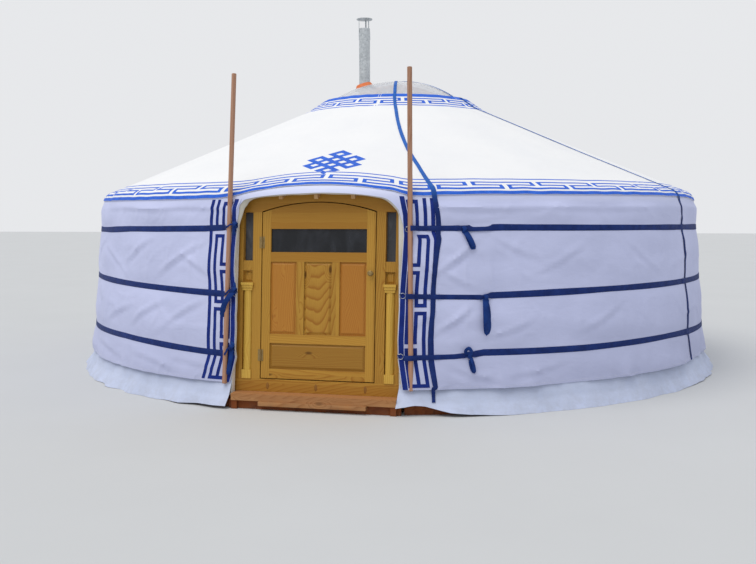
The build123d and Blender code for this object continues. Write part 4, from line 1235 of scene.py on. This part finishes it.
class Paint(Nodes):
    """A material that is built up node by node."""

    def __init__(self, name):
        self.made = bpy.data.materials.new(name)
        self.made.use_nodes = True
        super().__init__(self.made.node_tree)
        self.shader = self.made.node_tree.nodes["Principled BSDF"]

    def finish(self, colour, rough, normal=None, **numbers):
        """Links the colour, roughness and relief, and sets the shader's other numbers."""
        sockets = {key.replace("_", " "): value for key, value in numbers.items()}
        if normal is not None:
            sockets["Normal"] = normal
        self.feed(self.shader, {"Base Color": colour, "Roughness": rough, **sockets})
        return self.made


def shader_group(name, inputs, build):
    """A node group with named inputs. build() gets its nodes and inputs and returns its named outputs."""
    tree = bpy.data.node_groups.new(name, "ShaderNodeTree")
    for key, value in inputs.items():
        kind = {3: "Vector", 4: "Color"}.get(len(value), "Float") if hasattr(value, "__len__") else "Float"
        socket = tree.interface.new_socket(name=key, in_out="INPUT", socket_type="NodeSocket" + kind)
        socket.default_value = value
    start, end = new_nodes(tree, "NodeGroupInput", "NodeGroupOutput")
    made = build(Nodes(tree), start.outputs)
    for key, (kind, value) in made.items():
        tree.interface.new_socket(name=key, in_out="OUTPUT", socket_type="NodeSocket" + kind)
        tree.links.new(value, end.inputs[key])
    return tree


def weave_nodes(nodes, given):
    """Crossing threads, by places in metres."""
    waves = [nodes.node("TexWave", {"Vector": given["Place"], "Scale": given["Threads"], "Distortion": 0.8},
                        bands_direction=way).outputs[1] for way in ("X", "Y")]
    weave = nodes.maths("MULTIPLY", *waves)
    slub = nodes.noise(nodes.stretched(given["Place"], (3.0, 60.0, 1.0)), 3.0, 3.0)
    return {"Weave": ("Float", weave), "Slub": ("Float", slub)}


def grain_nodes(nodes, given):
    """Growth rings of sawn boards with knots. Place has the grain along Z, Board differs for each board."""
    board = given["Board"]
    sideways, depth, up = [nodes.axis(given["Place"], i) for i in range(3)]
    flat = nodes.node("CombineXYZ", {0: sideways, 1: nodes.maths("MULTIPLY", board, 9.0), 2: up}).outputs[0]
    knot_place = nodes.stretched(flat, (6.4, 3.0, 2.6))
    near_knot = nodes.node("TexVoronoi", {"Vector": knot_place, "Scale": 1.0, "Randomness": 1.0}).outputs[0]
    pull = nodes.span(near_knot, 0.04, 0.30, 0.018, 0.0)
    wander = nodes.noise(nodes.stretched(flat, (1.5, 1.0, 0.32)), 2.4, 3.0)
    ring_x = nodes.maths("ADD", sideways, nodes.span(board, 0, 1, -0.10, 0.10))
    ring_x = nodes.maths("ADD", ring_x, nodes.span(wander, 0.2, 0.8, -0.028, 0.028))
    lean = nodes.maths("MULTIPLY", up, nodes.span(board, 0, 1, -0.05, 0.07))
    ring_y = nodes.maths("ADD", nodes.maths("ADD", nodes.maths("MULTIPLY", depth, 0.3), 0.045), lean)
    ring_y = nodes.maths("ADD", ring_y, pull)
    radius = nodes.node("VectorMath", {0: nodes.node("CombineXYZ", {0: ring_x, 1: ring_y}).outputs[0]},
                        operation="LENGTH").outputs["Value"]
    count = nodes.maths("MULTIPLY", radius, given["Rings"])
    count = nodes.maths("ADD", count, nodes.maths("MULTIPLY", near_knot, 1.2))
    part = nodes.maths("FRACT", count)
    late = nodes.ramp(part, [(0.0, 0.10), (0.55, 0.34), (0.86, 1.0), (1.0, 0.10)])
    fibre = nodes.noise(nodes.stretched(given["Place"], (150, 150, 2.6)), 1.0, 3.0, 0.6)
    knot = nodes.ramp(near_knot, [(0.045, 1.0), (0.075, 0.55), (0.10, 0.0)])
    knot = nodes.maths("MULTIPLY", knot, given["Knots"])
    tone = nodes.mix(late, given["Early"], given["Late"])
    tone = nodes.blend(fibre, 0.35, 0.8, tone, given["Late"], 0.35)
    tone = nodes.mix(knot, tone, given["Knot"])
    relief = nodes.maths("ADD", nodes.maths("MULTIPLY", late, 0.5), nodes.maths("MULTIPLY", fibre, 0.5))
    return {"Colour": ("Color", tone), "Height": ("Float", relief), "Wander": ("Float", wander)}


def soil_nodes(nodes, given):
    """Soil that is splashed up from the ground."""
    low = nodes.span(nodes.axis(given["Place"], 2), 0.0, given["Reach"], 1.0, 0.0)
    spots = nodes.noise(given["Place"], 11.0, 6.0, 0.68)
    mask = nodes.maths("MULTIPLY", nodes.span(spots, 0.38, 0.72), nodes.maths("MULTIPLY", low, low))
    return {"Mask": ("Float", nodes.maths("MULTIPLY", mask, given["Amount"]))}


weave_group = shader_group("woven_threads", {"Place": (0, 0, 0), "Threads": 90.0}, weave_nodes)
grain_group = shader_group("sawn_grain", {
    "Place": (0, 0, 0), "Board": 0.5, "Rings": 130.0, "Knots": 0.8, "Early": (0.6, 0.3, 0.1, 1.0),
    "Late": (0.4, 0.2, 0.05, 1.0), "Knot": (0.1, 0.04, 0.01, 1.0)}, grain_nodes)
soil_group = shader_group("splashed_soil", {"Place": (0, 0, 0), "Reach": 0.35, "Amount": 0.5}, soil_nodes)


def times(colour, factor):
    """A colour made brighter or darker."""
    return tuple(min(1, part * factor) for part in colour)


def canvas_paint(name, light, dark, soil=0.0, top=None, low_darkening=0.0):
    """Woven cotton with soft creases, soil near the ground and a darker, bluer tone low down. top is its
    colour up high, painted light.
    """
    paint = Paint(name)
    where = paint.place()
    cloud = paint.noise(where, 2.0, 5.0)
    colour = paint.blend(cloud, 0.35, 0.70, light, dark)
    if top is not None:
        # Painted light: the cloth is drawn lighter from 1.62 m up, where the wall meets the roof.
        colour = paint.blend(paint.axis(where, 2), 1.62, 1.76, colour, top)
    threads = paint.use(weave_group, Place=paint.place(kind="UV"), Threads=160.0)
    colour = paint.blend(threads["Slub"], 0.45, 0.85, colour, times(dark, 0.86), 0.18)
    mask = paint.use(soil_group, Place=where, Reach=0.34, Amount=soil)["Mask"]
    colour = paint.mix(mask, colour, (0.30, 0.28, 0.25))
    # Darker and bluer towards the bottom of the wall.
    low_darkening = paint.span(paint.axis(where, 2), 0.25, 0.85, low_darkening, 0.0)
    colour = paint.mix(low_darkening, colour, (0.20, 0.21, 0.30))
    creases = paint.noise(paint.place((1.0, 1.0, 2.2)), 4.2, 6.0, 0.55, 0.6)
    soft = paint.bump(creases, 0.020, 0.30)
    fine = paint.bump(threads["Weave"], 0.0005, 0.25, soft)
    rough = paint.span(cloud, 0.0, 1.0, 0.80, 0.94)
    return paint.finish(colour, rough, fine, Sheen_Weight=0.08, Sheen_Roughness=0.5, Specular_IOR_Level=0.2)


def blue_paint(name, light, dark, threads, high=None):
    """Blue cloth or webbing. high is its colour on the roof, painted light: the same cloth drawn lighter
    where it lies under the sky.
    """
    paint = Paint(name)
    where = paint.place()
    cloud = paint.noise(where, 16.0, 5.0, 0.62)
    colour = paint.blend(cloud, 0.3, 0.75, dark, light)
    if high is not None:
        # Painted light: from 1.62 m up, over the roof, the cloth is drawn lighter.
        painted_light_colour = paint.blend(cloud, 0.3, 0.8, high, light, 0.5)
        colour = paint.blend(paint.axis(where, 2), 1.62, 1.76, colour, painted_light_colour)
    woven = paint.use(weave_group, Place=paint.place(kind="UV"), Threads=threads)
    # Darker between the threads: painted shade in the weave's hollows.
    colour = paint.mix(paint.span(woven["Weave"], 0.0, 0.6, 0.30, 0.0), colour, dark)
    relief = paint.bump(woven["Weave"], 0.0006, 0.5, paint.bump(cloud, 0.003, 0.4))
    return paint.finish(colour, 0.74, relief, Sheen_Weight=0.06, Sheen_Roughness=0.4, Specular_IOR_Level=0.16)


def turned_place(paint, where, grain):
    """Places turned so that the grain is along Z."""
    parts = [paint.axis(where, i) for i in {"x": (2, 1, 0), "z": (0, 1, 2)}[grain]]
    return paint.node("CombineXYZ", dict(enumerate(parts))).outputs[0]


def wood_paint(name, early, late, grain="z", rough=0.42, knots=0.75, rings=130.0, coat=0.03, boards=(9, 9, 9),
               soil=0.0, split=None):
    """Sawn timber. boards are the sizes of one board. Above the height split, the grain is upright."""
    paint = Paint(name)
    where = paint.place()
    cell = paint.vectors("MULTIPLY", where, tuple(1 / size for size in boards))
    if split is not None:
        upright = paint.maths("GREATER_THAN", paint.axis(where, 2), split)
        upper = paint.node("CombineXYZ", {0: upright, 1: 1.0, 2: 1.0}).outputs[0]
        cell = paint.vectors("MULTIPLY", cell, upper)
    cell = paint.vectors("FLOOR", paint.vectors("ADD", cell, (0.5, 0.5, 0.4)))
    board = paint.node("TexWhiteNoise", {"Vector": cell}, noise_dimensions="3D").outputs[0]
    along = turned_place(paint, where, grain)
    if split is not None:
        level = turned_place(paint, where, "x")
        along = paint.node("Mix", {0: upright, 4: level, 5: along}, data_type="VECTOR").outputs[1]
    grown_rings = paint.use(grain_group, Place=along, Board=board, Rings=rings, Knots=knots, Early=early,
                            Late=late, Knot=times(late, 0.28))
    colour = paint.blend(board, 0.5, 1.0, grown_rings["Colour"], late, 0.45)
    colour = paint.blend(board, 0.5, 0.0, colour, times(early, 1.28), 0.40)
    if split is not None:
        side = paint.maths("ABSOLUTE", paint.axis(where, 0))
        red = paint.maths("MULTIPLY", paint.span(side, 0.13, 0.14), upright)
        colour = paint.mix(paint.maths("MULTIPLY", red, 0.42), colour, (0.50, 0.16, 0.028))
        dim = paint.maths("MULTIPLY", paint.maths("SUBTRACT", 1.0, upright), 0.30)
        colour = paint.mix(dim, colour, (0.16, 0.070, 0.012))
    mask = paint.use(soil_group, Place=where, Reach=0.16, Amount=soil)["Mask"]
    colour = paint.mix(mask, colour, (0.12, 0.09, 0.07))
    relief = paint.bump(grown_rings["Height"], 0.0009, 0.35)
    edge = paint.node("Bevel", {"Radius": 0.003, "Normal": relief}, samples=4).outputs[0]
    gloss = paint.span(grown_rings["Wander"], 0.2, 0.8, rough - 0.06, rough + 0.12)
    return paint.finish(colour, gloss, edge, Coat_Weight=coat, Coat_Roughness=0.3, Specular_IOR_Level=0.18)


def felt_paint():
    """Pressed wool with matted fibres."""
    paint = Paint("wool_felt")
    where = paint.place()
    clumps = paint.noise(where, 7.0, 6.0, 0.6)
    fibres = paint.noise(where, 160.0, 4.0, 0.7, 1.2)
    colour = paint.mix(clumps, (0.62, 0.57, 0.48), (0.80, 0.76, 0.68))
    colour = paint.blend(fibres, 0.45, 0.8, colour, (0.46, 0.41, 0.34), 0.35)
    relief = paint.bump(fibres, 0.002, 0.8, paint.bump(clumps, 0.01, 0.3))
    return paint.finish(colour, 0.95, relief, Sheen_Weight=0.4, Sheen_Roughness=0.6, Specular_IOR_Level=0.15)


def steel_paint(name, light, dark, rough, spangle, metal=0.9):
    """Metal with a spangled or brushed skin and some dull patches."""
    paint = Paint(name)
    where = paint.place()
    cells = paint.node("TexVoronoi", {"Vector": where, "Scale": spangle}, feature="F1").outputs["Color"]
    grey = paint.node("RGBToBW", {"Color": cells}).outputs[0]
    patches = paint.noise(where, 12.0, 5.0, 0.6)
    colour = paint.blend(grey, 0.1, 0.9, dark, light)
    colour = paint.blend(patches, 0.5, 0.85, colour, times(dark, 0.7), 0.5)
    gloss = paint.span(patches, 0.2, 0.8, rough - 0.08, rough + 0.16)
    relief = paint.bump(paint.noise(where, 60.0, 3.0), 0.0006, 0.3)
    return paint.finish(colour, gloss, relief, Metallic=metal)


def dusty_paint(name, colour, dust_colour, rough, scale=22.0):
    """Matt stuff with a little dust on it."""
    paint = Paint(name)
    dust = paint.noise(paint.place(), scale, 6.0, 0.65)
    mixed = paint.blend(dust, 0.4, 0.85, colour, dust_colour, 0.5)
    return paint.finish(mixed, rough, paint.bump(dust, 0.001, 0.4), Specular_IOR_Level=0.35)


def clear_paint(name, colour, alpha, rough, level=0.5, reflection_swirl=0.0, lift=1.25):
    """Clear sheet that dulls where it is dusty. lift is how much brighter the dust is than the colour. On the
    dome the brighter patches are dust; the last argument twists them and brightens them further, and on the
    dark panes these swirls are painted reflection.
    """
    paint = Paint(name)
    dust = paint.noise(paint.place((1, 1, 0.45)), 7.0, 6.0, 0.6, reflection_swirl)
    haze = paint.span(dust, 0.3, 0.9, rough, rough + 0.15)
    # Brighter patches: dust on the dome, painted reflection on the panes.
    tint = paint.blend(dust, 0.42, 0.72, colour, times(colour, lift + reflection_swirl))
    return paint.finish(tint, haze, Alpha=alpha, Specular_IOR_Level=level)


paints = {
    # The roof and wall canvases are one white cloth. The wall copy is drawn darker and bluer as painted
    # shade, and its lighter colour up high is painted light. The skirt is drawn in the same darker, bluer
    # tone: painted shade.
    "roof_canvas": canvas_paint("roof_canvas", (0.925, 0.91, 0.89), (0.89, 0.88, 0.87)),
    "wall_canvas": canvas_paint("wall_canvas", (0.615, 0.640, 0.870), (0.560, 0.585, 0.800), 0.22,
                                (0.77, 0.79, 0.95), 0.22),
    "skirt": canvas_paint("skirt_canvas", (0.600, 0.650, 0.820), (0.540, 0.590, 0.750), 0.35),
    "lining": canvas_paint("lining_canvas", (0.66, 0.63, 0.55), (0.54, 0.51, 0.43)),
    "thread": dusty_paint("sewing_thread", (0.78, 0.78, 0.80), (0.66, 0.66, 0.68), 0.8),
    "leather": dusty_paint("leather_thong", (0.30, 0.17, 0.08), (0.22, 0.12, 0.06), 0.6, 90.0),
    # One blue cloth: the roof's appliqué is drawn bright as painted light, the wall's appliqué navy as
    # painted shade.
    "applique_roof": blue_paint("blue_applique_roof", (0.050, 0.190, 0.80), (0.026, 0.112, 0.58), 220.0),
    "applique_wall": blue_paint("blue_applique_wall", (0.014, 0.040, 0.27), (0.006, 0.018, 0.155), 220.0),
    "webbing": blue_paint("blue_webbing", (0.015, 0.041, 0.205), (0.007, 0.019, 0.105), 130.0),
    # The strap is navy on the wall and painted light where it runs over the roof.
    "strap": blue_paint("blue_strap", (0.015, 0.041, 0.205), (0.007, 0.019, 0.105), 130.0,
                        (0.030, 0.180, 0.640)),
    "tie": blue_paint("blue_tie", (0.012, 0.060, 0.270), (0.005, 0.022, 0.130), 130.0),
    "felt": felt_paint(),
    "pine_up": wood_paint("golden_pine_upright", (0.480, 0.262, 0.042), (0.330, 0.140, 0.016),
                          boards=(0.10, 9, 9)),
    "pine_across": wood_paint("golden_pine_across", (0.500, 0.268, 0.042), (0.345, 0.142, 0.016), "x",
                              boards=(9, 9, 0.075)),
    "panels": wood_paint("pine_panels", (0.520, 0.290, 0.046), (0.330, 0.130, 0.016), split=0.54,
                         boards=(0.27, 9, 0.9), knots=0.9, rings=210.0),
    "pilaster": wood_paint("pale_pine", (0.70, 0.45, 0.085), (0.54, 0.29, 0.042), rings=100.0,
                           boards=(0.5, 9, 9)),
    "sill": wood_paint("sill_timber", (0.53, 0.27, 0.110), (0.36, 0.155, 0.055), "x", 0.6, 0.5, coat=0.0,
                       boards=(9, 9, 0.06), soil=0.6),
    "base": wood_paint("base_timber", (0.27, 0.072, 0.014), (0.17, 0.040, 0.008), "x", 0.6, 0.5, coat=0.0,
                       boards=(9, 9, 0.06), soil=0.5),
    "floor": wood_paint("floor_timber", (0.58, 0.36, 0.17), (0.38, 0.20, 0.08), "x", 0.55, 0.5, coat=0.0,
                        boards=(9, 0.14, 9)),
    "lattice": wood_paint("lattice_timber", (0.60, 0.38, 0.18), (0.42, 0.23, 0.09), "z", 0.55, 0.2, coat=0.0),
    "pole": wood_paint("pole_timber", (0.470, 0.265, 0.175), (0.340, 0.165, 0.095), "z", 0.55, 1.0, 70.0, 0.0,
                       boards=(0.5, 9, 9)),
    "peg": wood_paint("peg_timber", (0.33, 0.155, 0.032), (0.20, 0.080, 0.016), "z", 0.5, 0.2),
    "crown": wood_paint("crown_timber", (0.70, 0.20, 0.05), (0.50, 0.11, 0.025), "x", 0.4, 0.1),
    "dome": clear_paint("clear_plastic", (0.88, 0.90, 0.93), 0.46, 0.06, 0.6, lift=1.06),
    # The panes are drawn nearly black and nearly opaque: painted shade of the dark room behind them.
    "pane": clear_paint("pane_glass", (0.014, 0.015, 0.018), 0.93, 0.16, 0.28, 1.2),
    "side_pane": clear_paint("side_pane_glass", (0.062, 0.064, 0.070), 0.94, 0.16, 0.28, 1.0),
    "steel": steel_paint("galvanised_steel", (0.62, 0.65, 0.67), (0.44, 0.47, 0.49), 0.42, 55.0),
    "iron": steel_paint("hinge_steel", (0.36, 0.25, 0.10), (0.24, 0.16, 0.06), 0.45, 160.0, 0.6),
    "rubber": dusty_paint("orange_rubber", (0.78, 0.17, 0.035), (0.85, 0.40, 0.22), 0.6),
}

painted_nodes = {
    "floor": "floor_joists floor_deck", "base": "floor_rim door_base_board", "sill": "door_sill step_board",
    "lattice": "roof_poles lattice_wall_1 lattice_wall_2 lattice_wall_3 lattice_wall_4 lattice_wall_5",
    "crown": "crown_ring crown_curb crown_ribs", "dome": "crown_dome", "rubber": "pipe_flashing",
    "steel": "stovepipe pipe_clamp pipe_cap", "pole": "door_pole_left door_pole_right",
    "pine_up": "frame_stiles frame_posts side_panels leaf_stiles leaf_muntins",
    "pine_across": "frame_bottom_rail frame_head leaf_top_rail leaf_rails", "panels": "leaf_panels",
    "pilaster": "side_pilasters", "side_pane": "side_glass", "pane": "leaf_glass",
    "iron": "frame_hinges leaf_hinges door_knob",
    "felt": " ".join(f"{kind}_felt_{i}" for kind in ("roof", "wall") for i in range(1, 5)),
}


def give_paint(piece, paint):
    """Gives a piece its one material."""
    piece.data.materials.clear()
    piece.data.materials.append(paints[paint])


def wear(piece, paint, stands_for=()):
    """Gives a new piece its material and its body, and hides the nodes that it stands for."""
    give_paint(piece, paint)
    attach(piece, "tent")
    if stands_for:
        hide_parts(*stands_for)
    return piece


def dress_model():
    """Gives every node of the model its material."""
    for paint, names in painted_nodes.items():
        for name in names.split():
            give_paint(nodes[name], paint)


def dress_tent():
    """Makes the cloth, the patterns and the webbing."""
    roof_piece = wear(roof_cover(), "roof_canvas", ["roof_cover"])
    sewn = [wear(eave_band(), "roof_canvas")]
    for piece in [*eave_pattern(), *crown_pattern(), roof_knot()]:
        sewn.append(wear(piece, "applique_roof"))
    for name in ("roof_felt_1", "roof_felt_4"):
        wear(felt_cut_back(name), "felt", [name])
    wall_piece = wear(wall_cover(), "wall_canvas", ["wall_cover"])
    bands = [wear(piece, "applique_wall") for side in (-1, 1) for piece in door_band(side)]
    foot = wear(skirt(), "skirt", ["skirt"])
    lining = wear(opening_lining(), "lining")
    for index, name in enumerate(belt_names):
        wear(belt(index), "webbing", [f"belt_{name}"])
    for name, *course in (("front", front_paths, front_falls, 0.0), ("side", side_paths, side_falls, 0.003)):
        wear(crown_strap(f"webbing_strap_{name}", *course), "strap", [f"crown_strap_{name}"])
    for piece in ties():
        wear(piece, "tie")
    wires, tabs = rings()
    wear(wires, "steel")
    wear(tabs, "webbing")


def dress_small_things():
    """Makes the knots of the lattice, the stitches and the pegs."""
    wear(lattice_thongs(heads_tree()), "leather")
    for piece in stitch_rows(stitches_tree()):
        wear(piece, "thread")
    wear(pegs(), "peg")


# Stage, light and camera

def ray_switch(nodes, plain, seen):
    """A shader that camera, glossy and transmission rays see in another way than the object's light does."""
    path = nodes.node("LightPath").outputs
    direct = nodes.maths("MAXIMUM", path["Is Camera Ray"], path["Is Glossy Ray"])
    direct = nodes.maths("MAXIMUM", direct, path["Is Transmission Ray"])
    return nodes.node("MixShader", {0: direct, 1: plain, 2: seen}).outputs[0]


def make_stage():
    """Pale floor."""
    mesh = bpy.data.meshes.new("floor")
    corners = [(x * stage_half, y * stage_half, 0) for x, y in ((-1, -1), (1, -1), (1, 1), (-1, 1))]
    mesh.from_pydata(corners, [], [(0, 1, 2, 3)])
    floor = shown("floor", mesh)
    paint = Paint("floor_of_stage")
    soft = paint.noise(paint.place(), 0.7, 4.0)
    colour = paint.mix(soft, (0.60, 0.60, 0.59), (0.64, 0.64, 0.63))
    floor.data.materials.append(paint.finish(colour, 0.9, Specular_IOR_Level=0.1))


def make_light():
    """An overcast sky with a soft bright patch high over the tent."""
    world = bpy.data.worlds.new("sky")
    bpy.context.scene.world = world
    world.use_nodes = True
    sky = Nodes(world.node_tree)
    light = sky.tree.nodes["Background"]
    sky.feed(light, {"Color": sky_light, "Strength": sky_strength})
    seen = sky.node("Background", {"Color": sky_seen})
    shader = ray_switch(sky, light.outputs[0], seen.outputs[0])
    sky.feed(sky.tree.nodes["World Output"], {0: shader})
    lamp = bpy.data.lights.new("sun", "SUN")
    lamp.energy = sun_energy
    lamp.angle = sun_spread
    lamp.color = sun_colour
    sun = shown("sun", lamp)
    sun.rotation_euler = Vector(sun_way).to_track_quat("-Z", "Y").to_euler()


def make_camera():
    """Camera a little to the right of the door, at the height of the eyes."""
    turn = np.radians(camera_azimuth)
    yaw = turn + np.radians(camera_turn)
    tilt = np.radians(camera_tilt)
    forward = Vector((-np.sin(yaw) * np.cos(tilt), np.cos(yaw) * np.cos(tilt), np.sin(tilt)))
    right = Vector((np.cos(yaw), np.sin(yaw), 0))
    upward = right.cross(forward)
    roll = np.radians(camera_roll)
    side = right * np.cos(roll) + upward * np.sin(roll)
    upward = upward * np.cos(roll) - right * np.sin(roll)
    data = bpy.data.cameras.new("camera")
    data.sensor_width = sensor_width
    data.lens = sensor_width * focal_pixels / image_width
    camera = shown("camera", data)
    axes = Matrix((side, upward, -forward)).transposed()
    camera.matrix_world = Matrix.Translation((camera_distance * np.sin(turn), -camera_distance * np.cos(turn),
                                              camera_height)) @ axes.to_4x4()
    bpy.context.scene.camera = camera


make_camera()
make_light()
make_stage()
dress_model()
dress_tent()
dress_small_things()
bpy.context.scene.view_settings.view_transform = "Standard"
